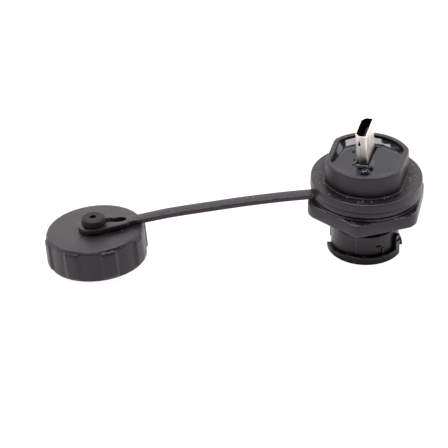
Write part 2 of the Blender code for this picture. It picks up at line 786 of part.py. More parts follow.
def make_pin(axis, nylon):
    """A headed pin with a blind hole down its middle, pressed into the cap's top."""
    angles = even_angles(32)
    profile = [
        (PIN_HOLE_RADIUS, PIN_HEAD_TOP - PIN_HOLE_DEPTH),
        (PIN_HOLE_RADIUS, PIN_HEAD_TOP - PIN_DISH),
        (PIN_HOLE_RADIUS + PIN_DISH_WIDTH, PIN_HEAD_TOP),
        (PIN_HEAD_RADIUS - PIN_EDGE, PIN_HEAD_TOP),
        (PIN_HEAD_RADIUS, PIN_HEAD_TOP - PIN_EDGE),
        (PIN_HEAD_RADIUS, PIN_HEAD_BOTTOM),
        (PIN_RADIUS, PIN_HEAD_BOTTOM),
        (PIN_RADIUS, CLEARANCE - PIN_SEAT_DEPTH),
    ]
    loops = [circle(radius, z, angles) for radius, z in profile]
    add_object("cap_pivot_pin", skin(bmesh.new(), loops), nylon, axis)


# ---------------------------------------------------------------- the whole object

def make_usb_axes():
    along_flats = Matrix.Rotation(CUP_TURN + pi / 2, 3, "Z")
    half_turn = Matrix.Rotation(pi, 3, "Z")
    rear_turn = Matrix.Rotation(REAR_SHELL_LEAN, 3, "Y") @ along_flats @ half_turn
    rear_place = Vector((RECEPTACLE_X, 0, 0)) + REAR_SHELL_BASE
    rear = axis_empty("rear_usb_axis", rear_place, rear_turn)
    front_turn = along_flats @ Matrix.Rotation(pi, 3, "X")
    front = axis_empty("front_usb_axis", Vector((RECEPTACLE_X, 0, FRONT_SHELL_TOP)), front_turn)
    return rear, front


def main():
    clear_scene()
    nylon = material("black_nylon", (0.045, 0.042, 0.044), 0.55)
    elastomer = material("black_elastomer", (0.05, 0.047, 0.049), 0.6)
    rubber = material("black_rubber", (0.02, 0.02, 0.02), 0.7)
    epoxy = material("black_epoxy", (0.02, 0.021, 0.024), 0.08)
    laminate = material("green_laminate", (0.02, 0.12, 0.05), 0.4)
    steel = material("plated_steel", (0.80, 0.76, 0.71), 0.25, 1.0)
    gold = material("gold_contact", (0.85, 0.62, 0.25), 0.3, 1.0)
    insulator = material("black_insulator", (0.03, 0.03, 0.03), 0.5)
    axis = axis_empty("receptacle_axis", Vector((RECEPTACLE_X, 0, 0)))
    cap_axis = axis_empty("cap_axis", cap_centre(), cap_turn())
    rear, front = make_usb_axes()
    make_housing(axis, nylon)
    make_potting(axis, epoxy)
    make_board(axis, laminate)
    make_front_insert(axis, nylon, rubber)
    make_usb("rear", rear, REAR_SHELL_LENGTH, (steel, gold), insulator)
    make_usb("front", front, FRONT_SHELL_LENGTH, (steel, gold), insulator)
    make_nut(axis, nylon)
    make_gasket(axis, rubber)
    make_tether(axis, cap_axis, elastomer)
    make_cap(cap_axis, nylon, rubber)
    make_pin(cap_axis, nylon)
    bpy.context.view_layer.update()


main()
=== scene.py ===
"""Looks for a bulkhead USB coupler standing on its socket mouth, with a tethered dust cap beside it."""

import json
from math import acos, asin, atan2, ceil, cos, exp, log, pi, radians, sin, sqrt

import bmesh
import bpy
from mathutils import Matrix, Vector


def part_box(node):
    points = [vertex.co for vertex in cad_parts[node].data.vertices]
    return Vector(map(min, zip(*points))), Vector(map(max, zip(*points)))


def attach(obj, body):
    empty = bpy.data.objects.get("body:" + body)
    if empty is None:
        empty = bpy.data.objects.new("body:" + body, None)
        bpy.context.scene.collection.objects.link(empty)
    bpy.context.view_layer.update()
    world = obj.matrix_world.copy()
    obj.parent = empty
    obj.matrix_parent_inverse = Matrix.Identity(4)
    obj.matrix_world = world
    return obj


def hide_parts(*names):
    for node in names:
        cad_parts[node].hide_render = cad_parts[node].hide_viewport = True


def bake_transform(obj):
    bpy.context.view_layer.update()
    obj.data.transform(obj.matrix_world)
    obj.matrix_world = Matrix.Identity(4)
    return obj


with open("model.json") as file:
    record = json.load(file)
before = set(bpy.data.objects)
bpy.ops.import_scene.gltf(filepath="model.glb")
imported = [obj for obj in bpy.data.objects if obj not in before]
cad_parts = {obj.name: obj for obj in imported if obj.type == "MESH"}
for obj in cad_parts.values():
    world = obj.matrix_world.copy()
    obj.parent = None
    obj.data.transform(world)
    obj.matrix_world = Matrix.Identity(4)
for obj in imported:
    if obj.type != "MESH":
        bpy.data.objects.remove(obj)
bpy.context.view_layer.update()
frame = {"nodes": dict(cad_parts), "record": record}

MM = 0.001
FULL_TURN = 2 * pi
TINY = 1e-6
SHARP_ANGLE = radians(30)
FILLET_STEPS = 4
SUNK = 0.3 * MM
JOINTS = {joint["name"]: joint for joint in frame["record"]["behaviour"]["joints"]}

# Where the receptacle and the cap stand, from the frame
HOUSING_LOW, HOUSING_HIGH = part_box("receptacle_housing")
AXIS = Vector(((HOUSING_LOW.x + HOUSING_HIGH.x) / 2, 0.0, 0.0))
CAP_CENTRE = Vector(JOINTS["cap_swivel"]["pos_m"])
CAP_LEAN_X = radians(-5.04)
CAP_LEAN_Y = radians(-5.24)
CAP_TURN = Matrix.Rotation(CAP_LEAN_Y, 3, "Y") @ Matrix.Rotation(CAP_LEAN_X, 3, "X")
CAP_FRAME = Matrix.Translation(CAP_CENTRE) @ CAP_TURN.to_4x4()
AXIS_FRAME = Matrix.Translation(AXIS)

# Camera: its direction from the object, its distance and its lens
VIEW_TURN = radians(-5.86)
VIEW_RISE = radians(33.83)
VIEW_DISTANCE = 0.6235
VIEW_TARGET = Vector((AXIS.x - 30.18 * MM, 3.09 * MM, 5.21 * MM))
SENSOR = 36.0
LENS = 233.04

# Receptacle housing
CUP_RADIUS = 9.35 * MM
CUP_HALF_WIDTH = 8.2 * MM
CUP_WALL = 1.15 * MM
CUP_TOP = 22.8 * MM
CUP_TURN = radians(-20.5)
CUP_CORNER = 0.12 * MM
CUP_DRAFT = 0.08 * MM
CUP_RIM_ROUND_INSIDE = 0.22 * MM
CUP_RIM_ROUND_OUTSIDE = 0.30 * MM
CUP_FOOT = 0.3 * MM
FLANGE_TOP = 17.75 * MM
FLANGE_BOTTOM = 15.7 * MM
FLANGE_RADIUS = 11.9 * MM
FLANGE_LOWER_RADIUS = 12.0 * MM
FLANGE_TOP_ROUND = 0.28 * MM
FLANGE_BOTTOM_ROUND = 0.16 * MM
BOARD_LEDGE = 17.9 * MM
CAVITY_RADIUS = 6.8 * MM
PARTITION_TOP = 12.5 * MM
PARTITION_BOTTOM = 11.0 * MM
BOARD_SLOT = (1.6 * MM, 4.1 * MM)
BORE_RADIUS = 6.0 * MM
BARREL_RADIUS = 7.25 * MM
BARREL_FIRST_ROW = 5.9 * MM
BARREL_ROWS = tuple(height * MM for height in (5.2, 4.4, 3.6, 2.8, 2.0, 1.2))
BARREL_LAST_ROW = 0.5 * MM
NECK_RADIUS = 6.75 * MM
NECK_BOTTOM = 6.5 * MM
NECK_TOP = 7.6 * MM
THREAD_CREST = 9.0 * MM
THREAD_ROOT = 8.4 * MM
THREAD_PITCH = 1.0 * MM
THREAD_BOTTOM = 8.6 * MM
THREAD_TOP = 15.2 * MM
ROWS_PER_PITCH = 12
HOUSING_SIDES = 192
RIDGE_RADIUS = 8.1 * MM
RIDGE_LOW = 0.6 * MM
RIDGE_HIGH = 1.8 * MM
RIDGE_START = radians(-31)
RIDGE_END = radians(-186)
RIDGE_RAMP = radians(65)
RIDGE_CHAMFER = 0.08 * MM
RIDGE_STEPS = 72
RIDGE_OVERLAP = radians(0.4)
STOP_WIDTH = radians(11)
STOP_HEIGHT = 5.0 * MM
DETENT_ANGLE = radians(-65)
DETENT_WIDTH = radians(3.5)
DETENT_HEIGHT = 3.4 * MM
DETENT_RADIUS = 7.5 * MM
DETENT_CHAMFER = 0.05 * MM
PARTING_ANGLE = radians(-113)
PARTING_HALF_WIDTH = radians(0.6)
PARTING_DEPTH = 0.2 * MM
PARTING_RISE = 0.07 * MM
# Each pocket's start and end angle in degrees, and its bottom and top in millimetres
POCKETS = ((-31.0, -41.5, 3.55, 4.35), (-70.0, -79.0, 3.75, 4.2))

# Potting resin, which climbs the cup's wall most at the back and in its corners
POTTING_TOP = 21.3 * MM
POTTING_BOTTOM = 19.34 * MM
POTTING_GAP = 0.05 * MM
MENISCUS_MIDDLE = radians(110)
MENISCUS_CORNERS = (radians(52), radians(158))
MENISCUS_CORNER_WIDTH = radians(15)
MENISCUS_REACH = 0.45 * MM
MENISCUS_BACK_REACH = 1.50 * MM
MENISCUS_CORNER_REACH = -0.25 * MM
MENISCUS_RISE = 0.18 * MM
MENISCUS_BACK_RISE = 0.65 * MM
MENISCUS_CORNER_RISE = 0.30 * MM
MENISCUS_UNEVEN_RISE = 0.05 * MM
MENISCUS_EASE_FROM = 0.7
MENISCUS_SHARES = (0.0, 0.06, 0.12, 0.19, 0.27, 0.36, 0.46, 0.57, 0.70, 0.84, 1.0)
SHELL_SLOT = (1.42 * MM, 3.92 * MM)
# How far in from the pool's edge to the shell, and how high the resin stands there in millimetres
SHELL_CLIMB = ((0.35, 0.0), (0.65, 0.0), (0.90, 0.03), (0.97, 0.12), (1.0, 0.22))
BEAD_ROWS = 8
BEAD_FOOT = -0.25
BEAD_CROWN = 0.95
# Each bead's x and y from the receptacle's axis, its radius and its height in millimetres, and its stretch
BEADS = (
    (-1.80, -2.75, 0.55, 0.75, 1.0),
    (0.35, -3.15, 0.55, 0.75, 1.0),
    (-1.15, -4.55, 0.90, 0.80, 1.25),
    (-2.35, 3.90, 0.30, 0.35, 1.0),
    (-2.65, 0.75, 0.28, 0.30, 1.0),
    (-3.10, -1.10, 0.34, 0.28, 1.0),
)

# USB shells
SHELL_WIDTH = 7.5 * MM
SHELL_HEIGHT = 2.5 * MM
SHELL_CHAMFER = (1.0 * MM, 0.85 * MM)
SHELL_WALL = 0.20 * MM
SHELL_BASE = Vector((0.03, 1.78, 19.55)) * MM
SHELL_LENGTH = 9.1 * MM
SHELL_LEAN = radians(-4.2)
SHELL_ROUND_OUTSIDE = 0.38 * MM
SHELL_ROUND_INSIDE = 0.22 * MM
SHELL_LIP = 0.06 * MM
LATCH_RADIUS = 0.30 * MM
LATCH_POINT = (-0.02 * MM, 1.25 * MM)
LATCH_ASIDE = -0.25 * MM
LATCH_DEPTH = 2.2 * MM

# Nut
NUT_ACROSS_FLATS = 23.5 * MM
NUT_CORNER_RADIUS = 3.0 * MM
NUT_CORNER_SLOPE = 0.12
NUT_CHAMFER = 0.3 * MM
NUT_CHAMFER_DEPTH = 0.125 * MM
# Rows of the nut's softened edges: inset and depth past the chamfer, in millimetres
NUT_EDGE_ROWS = ((0.10, 0.0), (0.03, 0.04), (0.0, 0.14))
NUT_TOP = 13.5 * MM
NUT_BOTTOM = 10.3 * MM
NUT_BORE = 9.25 * MM
NUT_BORE_CHAMFER = 0.35 * MM
NUT_THREAD_DEPTH = 0.18 * MM
NUT_THREAD_ROWS = 24
NUT_TURN = radians(13.5)

# Tether
RING_RADIUS = 11.85 * MM
RING_INNER_RADIUS = 9.3 * MM
RING_TOP = 15.6 * MM
RING_BOTTOM = 14.45 * MM
RING_ROUND = 0.15 * MM
RING_SEAM = 0.6 * MM
STRAP_WIDTH = 2.4 * MM
STRAP_THICKNESS = 1.1 * MM
STRAP_EDGE = 0.14 * MM
STRAP_STEP = 0.6 * MM
STRAP_START = RING_RADIUS - 0.9 * MM
# Points in millimetres: distance from the axis towards the cap, then aside, then height
STRAP_ROUTE = (
    (11.2, -1.75, 14.85),
    (15.5, -1.58, 14.58),
    (20.0, -1.32, 14.15),
    (25.7, -0.95, 13.45),
    (33.0, -0.60, 12.45),
    (42.3, -0.38, 11.20),
)
INNER_SEAM = 24.3 * MM
OUTER_SEAM = 41.6 * MM
# Three more points, by their distance from the pin, and where the strap rolls level with the cap
NECK_ROUTE = (9.6 * MM, 8.3 * MM, 6.9 * MM)
ROLL_START = 44.0 * MM
ROLL_LENGTH = 7.0 * MM
EYE_RADIUS = 3.45 * MM
EYE_BORE = 1.75 * MM
EYE_BOTTOM = 0.3 * MM
EYE_TOP = 1.3 * MM
EYE_NECK_RADIUS = 2.15 * MM
EYE_NECK_REACH = 5.8 * MM
EYE_END = 8.2 * MM
EYE_TAPER_START = 7.7 * MM
EYE_TAPER_ANGLE = radians(42)
EYE_EASE = 0.1 * MM
STRAP_END_ON_EYE = 7.9 * MM
KEYHOLE_SLOT = 0.42 * MM
# Outlines on the eye, in millimetres from the pin
KEYHOLE_SIDE = ((3.6, 0.42), (4.3, 0.82), (5.1, 1.05), (5.9, 1.04), (6.6, 0.74), (7.0, 0.32))
TAB_OUTLINE = ((2.2, 0.75), (4.1, 0.62), (4.1, 1.35), (2.5, 1.5))
TAB_BOTTOM = 0.9 * MM
TAB_TOP = 1.62 * MM

# Cap
CAP_DEPTH = 7.08 * MM
CAP_DISC_RADIUS = 10.1 * MM
CAP_RADIUS = 10.46 * MM
CAP_WALL = 1.5 * MM
CAP_ROOF = 1.5 * MM
CAP_EDGE_DEPTH = 0.6 * MM
CAP_EDGE_SLOPE = 0.5
RIB_COUNT = 8
RIB_RADIUS = 10.9 * MM
RIB_FLANK = radians(5)
RIB_HALF_WIDTH = radians(11.5)
RIB_FIRST = radians(12.5)
FLANK_SHARES = (0.0, 0.2, 0.4, 0.6, 0.8, 1.0)
# Rows down the cap's side: height in millimetres, and how far out the ribs stand there
RIB_ROWS = (
    (-0.40, 0.0), (-0.50, 0.08), (-0.60, 0.30), (-0.74, 0.60), (-0.92, 0.86), (-1.10, 0.97), (-1.25, 1.0),
    (-2.0, 1.0), (-3.0, 1.0), (-4.6, 1.0), (-6.1, 1.0), (-6.4, 0.9), (-6.6, 0.45), (-6.75, 0.0),
)
LUG_RADIUS = 7.55 * MM
LUG_HALF_WIDTH = radians(9)
LUG_HEIGHT = 1.3 * MM
MOUTH_LIP = 0.5 * MM
PIN_HEAD_RADIUS = 2.62 * MM
PIN_HEAD_BOTTOM = 1.45 * MM
PIN_HEAD_TOP = 2.95 * MM
PIN_RADIUS = 1.5 * MM
PIN_HOLE_RADIUS = 0.72 * MM
PIN_HOLE_DEPTH = 1.8 * MM
PIN_FOOT = -1.0 * MM

# Finishes
EDGE_WIDTH = 0.40 * MM
CREVICE_REACH = 4.0 * MM
SPECK_SCALE = 2400.0
SPECK_RADIUS = 0.24
DUST_COLOUR = (0.32, 0.30, 0.29)
PLASTIC_TINT = (1.0, 0.87, 0.98, 1.0)
RESIN_TINT = (0.96, 0.92, 1.0, 1.0)
FOOT_DARK = (0.035, 0.030, 0.026)

# Lights: name, place, target, width, depth and power
LIGHTS = (
    ("overhead_softbox", (0.0, 0.03, 0.60), (0.0, 0.0, 0.01), 0.75, 0.16, 5.0),
    ("backdrop", (0.0, 0.85, 0.33), (0.0, 0.0, 0.10), 1.7, 0.66, 4.9),
    ("upper_backdrop", (0.0, 0.62, 0.78), (0.0, 0.0, 0.0), 1.5, 0.50, 2.7),
    ("left_panel", (-0.75, 0.15, 0.26), (0.0, 0.0, 0.02), 0.6, 0.5, 1.8),
    ("right_panel", (0.75, 0.10, 0.24), (0.0, 0.0, 0.02), 0.9, 0.48, 3.6),
    ("front_fill", (-0.22, -0.30, 0.62), (0.0, 0.0, 0.02), 0.14, 0.14, 1.6),
)
FLOOR_SIZE = 6.0
FLOOR_DROP = 0.00002
FLOOR_GLOW = 0.97
ROOM_GLOW = 0.14
WHITE = (1.0, 1.0, 1.0, 1.0)


# ---- meshes

def even_angles(count):
    return [FULL_TURN * step / count for step in range(count)]


def circle(radius, z, angles):
    return [(radius * cos(angle), radius * sin(angle), z) for angle in angles]


def soft_min(first, second, width):
    """The smaller of two lengths, with a rounded change from one to the other."""
    nearer = min(first, second)
    return nearer - width * log(exp((nearer - first) / width) + exp((nearer - second) / width))


def flatted(inset, z, angles):
    """The cup's outline, moved in by inset: a circle with a flat on each side."""
    loop = []
    for angle in angles:
        flat = (CUP_HALF_WIDTH - inset) / max(abs(cos(angle)), TINY)
        reach = soft_min(CUP_RADIUS - inset, min(flat, 1.0), CUP_CORNER)
        loop.append((reach * cos(angle), reach * sin(angle), z))
    return loop


def boxed(half_x, half_y, z, angles, centre=(0.0, 0.0)):
    loop = []
    for angle in angles:
        reach = min(half_x / max(abs(cos(angle)), TINY), half_y / max(abs(sin(angle)), TINY))
        loop.append((centre[0] + reach * cos(angle), centre[1] + reach * sin(angle), z))
    return loop


def skin(shape, loops, closed=False):
    """Join loops of equal length into one skin, capped at its ends or closed on itself."""
    rings = [[shape.verts.new(point) for point in loop] for loop in loops]
    pairs = list(zip(rings, rings[1:]))
    if closed:
        pairs.append((rings[-1], rings[0]))
    for lower, upper in pairs:
        for here in range(len(lower)):
            after = (here + 1) % len(lower)
            shape.faces.new((lower[here], lower[after], upper[after], upper[here]))
    if not closed:
        shape.faces.new(rings[0][::-1])
        shape.faces.new(rings[-1])
    return shape


def fillet(corners):
    """Round each (radius, z, fillet) corner of an open profile with an arc."""
    points = []
    for index, (x, z, size) in enumerate(corners):
        if size == 0.0 or index in (0, len(corners) - 1):
            points.append((x, z))
            continue
        here = Vector((x, z))
        back = Vector(corners[index - 1][:2]) - here
        ahead = Vector(corners[index + 1][:2]) - here
        half = back.angle(ahead) / 2
        reach = min(size / max(abs(sin(half) / cos(half)), TINY), back.length * 0.49, ahead.length * 0.49)
        start = here + back.normalized() * reach
        end = here + ahead.normalized() * reach
        for step in range(FILLET_STEPS + 1):
            share = step / FILLET_STEPS
            near = start.lerp(here, share)
            far = here.lerp(end, share)
            points.append(tuple(near.lerp(far, share)))
    return points


def arc(centre_x, centre_y, radius, start, end, steps):
    points = []
    for step in range(steps + 1):
        angle = start + (end - start) * step / steps
        points.append((centre_x + radius * cos(angle), centre_y + radius * sin(angle)))
    return points


def prism(outline, bottom, top):
    return skin(bmesh.new(), [[(x, y, z) for x, y in outline] for z in (bottom, top)])


def add_arc_block(shape, inner, outer, bottom, tops, chamfer=0.0):
    """A curved block between two radii; tops lists (angle, top height) along its length."""
    loops = []
    for angle, top in tops:
        section = (
            (inner, bottom),
            (outer - chamfer, bottom),
            (outer, bottom + chamfer),
            (outer, top - chamfer),
            (outer - chamfer, top),
            (inner, top),
        )
        loops.append([(radius * cos(angle), radius * sin(angle), z) for radius, z in section])
    skin(shape, loops)


def level_tops(start, end, top, steps):
    return [(start + (end - start) * step / steps, top) for step in range(steps + 1)]


def raw_object(name, shape, place):
    bmesh.ops.recalc_face_normals(shape, faces=shape.faces)
    mesh = bpy.data.meshes.new(name)
    shape.to_mesh(mesh)
    shape.free()
    mesh.transform(place)
    made = bpy.data.objects.new(name, mesh)
    bpy.context.collection.objects.link(made)
    return made


def piece(name, shape, place, finishes, joins=(), cuts=(), bevel=0.0):
    """One finished mesh: a shape joined with and cut by others, with its edges eased."""
    made = raw_object(name, shape, place)
    tools = []
    for operation, shapes in (("UNION", joins), ("DIFFERENCE", cuts)):
        for other in shapes:
            tool = raw_object("tool", other, place)
            tools.append(tool)
            boolean = made.modifiers.new(operation.title(), "BOOLEAN")
            boolean.operation = operation
            boolean.solver = "EXACT"
            boolean.object = tool
    if bevel:
        ease = made.modifiers.new("Ease", "BEVEL")
        ease.width = bevel
        ease.segments = 3
        ease.limit_method = "ANGLE"
        ease.angle_limit = SHARP_ANGLE
        ease.harden_normals = True
    depsgraph = bpy.context.evaluated_depsgraph_get()
    final = bpy.data.meshes.new_from_object(made.evaluated_get(depsgraph))
    made.modifiers.clear()
    made.data = final
    for tool in tools:
        bpy.data.objects.remove(tool, do_unlink=True)
    final.materials.clear()
    for finish in finishes:
        final.materials.append(finish)
    final.shade_smooth()
    final.set_sharp_from_angle(angle=SHARP_ANGLE)
    return made


def settle(made, body, slot, *nodes):
    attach(made, body)
    if nodes:
        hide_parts(*nodes)
    return made


# ---- materials

class Nodes:
    """Short calls that add and join shader nodes."""

    def __init__(self, name):
        self.material = bpy.data.materials.new(name)
        self.material.use_nodes = True
        self.tree = self.material.node_tree
        self.shader = self.tree.nodes["Principled BSDF"]
        self.place = self.add("ShaderNodeTexCoord").outputs["Object"]

    def add(self, kind, **settings):
        node = self.tree.nodes.new(kind)
        for key, value in settings.items():
            setattr(node, key, value)
        return node

    def link(self, source, target):
        self.tree.links.new(source, target)

    def noise(self, scale, detail=3.0, stretch=(1.0, 1.0, 1.0)):
        mapping = self.add("ShaderNodeMapping")
        mapping.inputs["Scale"].default_value = stretch
        self.link(self.place, mapping.inputs["Vector"])
        node = self.add("ShaderNodeTexNoise")
        node.inputs["Scale"].default_value = scale
        node.inputs["Detail"].default_value = detail
        self.link(mapping.outputs["Vector"], node.inputs["Vector"])
        return node.outputs["Fac"]

    def ramp(self, source, stops):
        """Map a value through two stops, each an (input, result) pair."""
        node = self.add("ShaderNodeMapRange")
        node.inputs["From Min"].default_value = stops[0][0]
        node.inputs["From Max"].default_value = stops[1][0]
        node.inputs["To Min"].default_value = stops[0][1]
        node.inputs["To Max"].default_value = stops[1][1]
        self.link(source, node.inputs["Value"])
        return node.outputs["Result"]

    def mix(self, share, first, second):
        node = self.add("ShaderNodeMix", data_type="RGBA")
        self.link(share, node.inputs["Factor"])
        for value, socket in ((first, node.inputs["A"]), (second, node.inputs["B"])):
            if isinstance(value, tuple):
                socket.default_value = (*value, 1.0)
            else:
                self.link(value, socket)
        return node.outputs["Result"]

    def math(self, operation, *values):
        node = self.add("ShaderNodeMath", operation=operation)
        for value, socket in zip(values, node.inputs):
            if isinstance(value, float):
                socket.default_value = value
            else:
                self.link(value, socket)
        return node.outputs["Value"]

    def height(self):
        node = self.add("ShaderNodeSeparateXYZ")
        self.link(self.place, node.inputs["Vector"])
        return node.outputs["Z"]

    def facing_up(self):
        node = self.add("ShaderNodeSeparateXYZ")
        self.link(self.add("ShaderNodeNewGeometry").outputs["Normal"], node.inputs["Vector"])
        return node.outputs["Z"]

    def edges(self, width):
        """How near a point is to an edge, from 0 on a flat to 1 on the edge itself."""
        rounded = self.add("ShaderNodeBevel", samples=6)
        rounded.inputs["Radius"].default_value = width
        plain = self.add("ShaderNodeNewGeometry")
        dot = self.add("ShaderNodeVectorMath", operation="DOT_PRODUCT")
        self.link(rounded.outputs["Normal"], dot.inputs[0])
        self.link(plain.outputs["Normal"], dot.inputs[1])
        return self.ramp(dot.outputs["Value"], ((0.985, 0.0), (0.93, 1.0)))

    def openness(self, reach):
        """How open the surroundings of a point are, low in corners and crevices."""
        node = self.add("ShaderNodeAmbientOcclusion", samples=6)
        node.inputs["Distance"].default_value = reach
        return node.outputs["AO"]

    def bumps(self, layers):
        """Stack bumps, each a (height, strength, distance)."""
        normal = None
        for height, strength, distance in layers:
            node = self.add("ShaderNodeBump")
            node.inputs["Strength"].default_value = strength
            node.inputs["Distance"].default_value = distance
            self.link(height, node.inputs["Height"])
            if normal:
                self.link(normal, node.inputs["Normal"])
            normal = node.outputs["Normal"]
        self.link(normal, self.shader.inputs["Normal"])


def clouded(nodes, cloud, dark, light):
    """Cloudy tone with faint upright streaks."""
    streak = nodes.ramp(nodes.noise(420.0, 2.0, (1.0, 1.0, 0.25)), ((0.4, 0.0), (0.7, 1.0)))
    tone = nodes.math("MULTIPLY_ADD", cloud, 0.7, nodes.math("MULTIPLY", streak, 0.3))
    return nodes.mix(tone, dark, light)


def rubbed_and_highlit(nodes, colour, light, open_air):
    """Paler patches along edges that stand free: partly wear where handling has rubbed them, partly a
    painted highlight on the edges.
    """
    worn_and_highlit = tuple(channel * 3.0 + 0.055 for channel in light)
    patchy = nodes.ramp(nodes.noise(1600.0, 4.0), ((0.45, 0.0), (0.65, 1.0)))
    pale_edges = nodes.math("MULTIPLY", nodes.edges(EDGE_WIDTH), patchy)
    free = nodes.ramp(open_air, ((0.70, 0.0), (0.92, 1.0)))
    return nodes.mix(nodes.math("MULTIPLY", pale_edges, free), colour, worn_and_highlit)


def dusted(nodes, colour, dust, open_air):
    """Specks of dust that lie on upward faces, mostly in corners."""
    speck = nodes.add("ShaderNodeTexVoronoi")
    speck.inputs["Scale"].default_value = SPECK_SCALE
    nodes.link(nodes.place, speck.inputs["Vector"])
    chosen = nodes.math("LESS_THAN", speck.outputs["Color"], dust)
    near = nodes.math("LESS_THAN", speck.outputs["Distance"], SPECK_RADIUS)
    clustered = nodes.ramp(nodes.noise(210.0, 2.0), ((0.36, 0.1), (0.52, 1.0)))
    gathered = nodes.ramp(open_air, ((0.70, 1.0), (0.93, 0.12)))
    upward = nodes.ramp(nodes.facing_up(), ((0.2, 0.04), (0.7, 1.0)))
    lying = nodes.math("MULTIPLY", nodes.math("MULTIPLY", clustered, gathered), upward)
    spot = nodes.math("MULTIPLY", nodes.math("MULTIPLY", chosen, near), lying)
    return nodes.mix(spot, colour, DUST_COLOUR)


def moulded(name, dark, light, roughness, grain=1.0, dust=0.0, gloss=0.5, shade_below=0.0):
    """Black moulded plastic or elastomer: fine grain, cloudy tone, paler edges that are partly rubbed and
    partly a painted highlight, a little dust, and, when a height is given, painted shade that dims its
    reflections below it and in crevices.
    """
    nodes = Nodes(name)
    cloud = nodes.ramp(nodes.noise(260.0, 4.0), ((0.35, 0.0), (0.68, 1.0)))
    open_air = nodes.openness(CREVICE_REACH)
    colour = rubbed_and_highlit(nodes, clouded(nodes, cloud, dark, light), light, open_air)
    if dust:
        colour = dusted(nodes, colour, dust, open_air)
    nodes.link(colour, nodes.shader.inputs["Base Color"])
    fine = nodes.noise(5200.0, 3.0)
    speckled = nodes.math("MULTIPLY_ADD", fine, 0.16, roughness - 0.12)
    nodes.link(nodes.math("MULTIPLY_ADD", cloud, 0.10, speckled), nodes.shader.inputs["Roughness"])
    nodes.shader.inputs["Specular IOR Level"].default_value = gloss
    # Painted shade: below the given height and in corners and crevices the reflection is dimmed, standing
    # in for the shade of the floor and nearby walls.
    if shade_below:
        shaded_sheen = nodes.ramp(nodes.height(), ((shade_below * 0.35, gloss * 0.62), (shade_below, gloss)))
        shaded_sheen = nodes.math("MULTIPLY", shaded_sheen, nodes.ramp(open_air, ((0.50, 0.08), (0.88, 1.0))))
        nodes.link(shaded_sheen, nodes.shader.inputs["Specular IOR Level"])
    nodes.shader.inputs["Specular Tint"].default_value = PLASTIC_TINT
    coarse = nodes.noise(2100.0, 3.0)
    nodes.bumps(((coarse, 0.55 * grain, 0.00012), (fine, 0.50 * grain, 0.00004)))
    return nodes.material


def resin():
    """Cast epoxy: near black and wet looking, with faint ripples."""
    nodes = Nodes("potting_resin")
    cloud = nodes.ramp(nodes.noise(330.0, 3.0), ((0.3, 0.0), (0.7, 1.0)))
    colour = nodes.mix(cloud, (0.006, 0.006, 0.008), (0.012, 0.011, 0.014))
    nodes.link(colour, nodes.shader.inputs["Base Color"])
    roughness = nodes.ramp(nodes.noise(1100.0, 2.0), ((0.3, 0.04), (0.7, 0.10)))
    nodes.link(roughness, nodes.shader.inputs["Roughness"])
    nodes.shader.inputs["Specular IOR Level"].default_value = 0.38
    nodes.shader.inputs["Specular Tint"].default_value = RESIN_TINT
    nodes.bumps(((nodes.noise(190.0, 2.0), 0.16, 0.0004), (nodes.noise(2600.0, 1.0), 0.03, 0.00003)))
    return nodes.material


def plated(name, bright, dull, roughness, metallic=1.0, darker_below=0.0):
    """Bright plated metal with fine drawing lines and tarnished patches, darker towards its foot when a
    height is given.
    """
    nodes = Nodes(name)
    patches = nodes.ramp(nodes.noise(520.0, 4.0), ((0.42, 0.0), (0.72, 1.0)))
    lines = nodes.noise(2600.0, 2.0, (1.0, 1.0, 0.05))
    colour = nodes.mix(patches, bright, dull)
    if darker_below:
        # The metal turns darker towards its foot, below the given height, with a wavy edge.
        wave = nodes.noise(900.0, 3.0, (1.0, 1.0, 0.3))
        uneven = nodes.math("MULTIPLY_ADD", wave, -3.2 * MM, nodes.height())
        foot_share = nodes.ramp(uneven, ((darker_below - 1.5 * MM, 0.93), (darker_below + 0.5 * MM, 0.0)))
        colour = nodes.mix(foot_share, colour, FOOT_DARK)
    nodes.link(colour, nodes.shader.inputs["Base Color"])
    nodes.shader.inputs["Metallic"].default_value = metallic
    brushed = nodes.ramp(lines, ((0.3, roughness * 0.7), (0.7, roughness * 1.4)))
    nodes.link(brushed, nodes.shader.inputs["Roughness"])
    nodes.bumps(((lines, 0.10, 0.00002), (nodes.noise(700.0, 2.0), 0.12, 0.00005)))
    return nodes.material


def laminate():
    """Green glass-fibre board with a faint weave."""
    nodes = Nodes("board_laminate")
    weave = nodes.noise(1500.0, 2.0)
    colour = nodes.mix(weave, (0.012, 0.085, 0.035), (0.030, 0.16, 0.06))
    nodes.link(colour, nodes.shader.inputs["Base Color"])
    nodes.link(nodes.ramp(weave, ((0.3, 0.25), (0.7, 0.45))), nodes.shader.inputs["Roughness"])
    nodes.bumps(((weave, 0.2, 0.00003),))
    return nodes.material


# The housing's reflections carry painted shade below 7 mm and in its crevices.
NYLON = moulded("housing_nylon", (0.0028, 0.0023, 0.0027), (0.0060, 0.0050, 0.0058), 0.35, dust=0.34,
                shade_below=7.0 * MM)
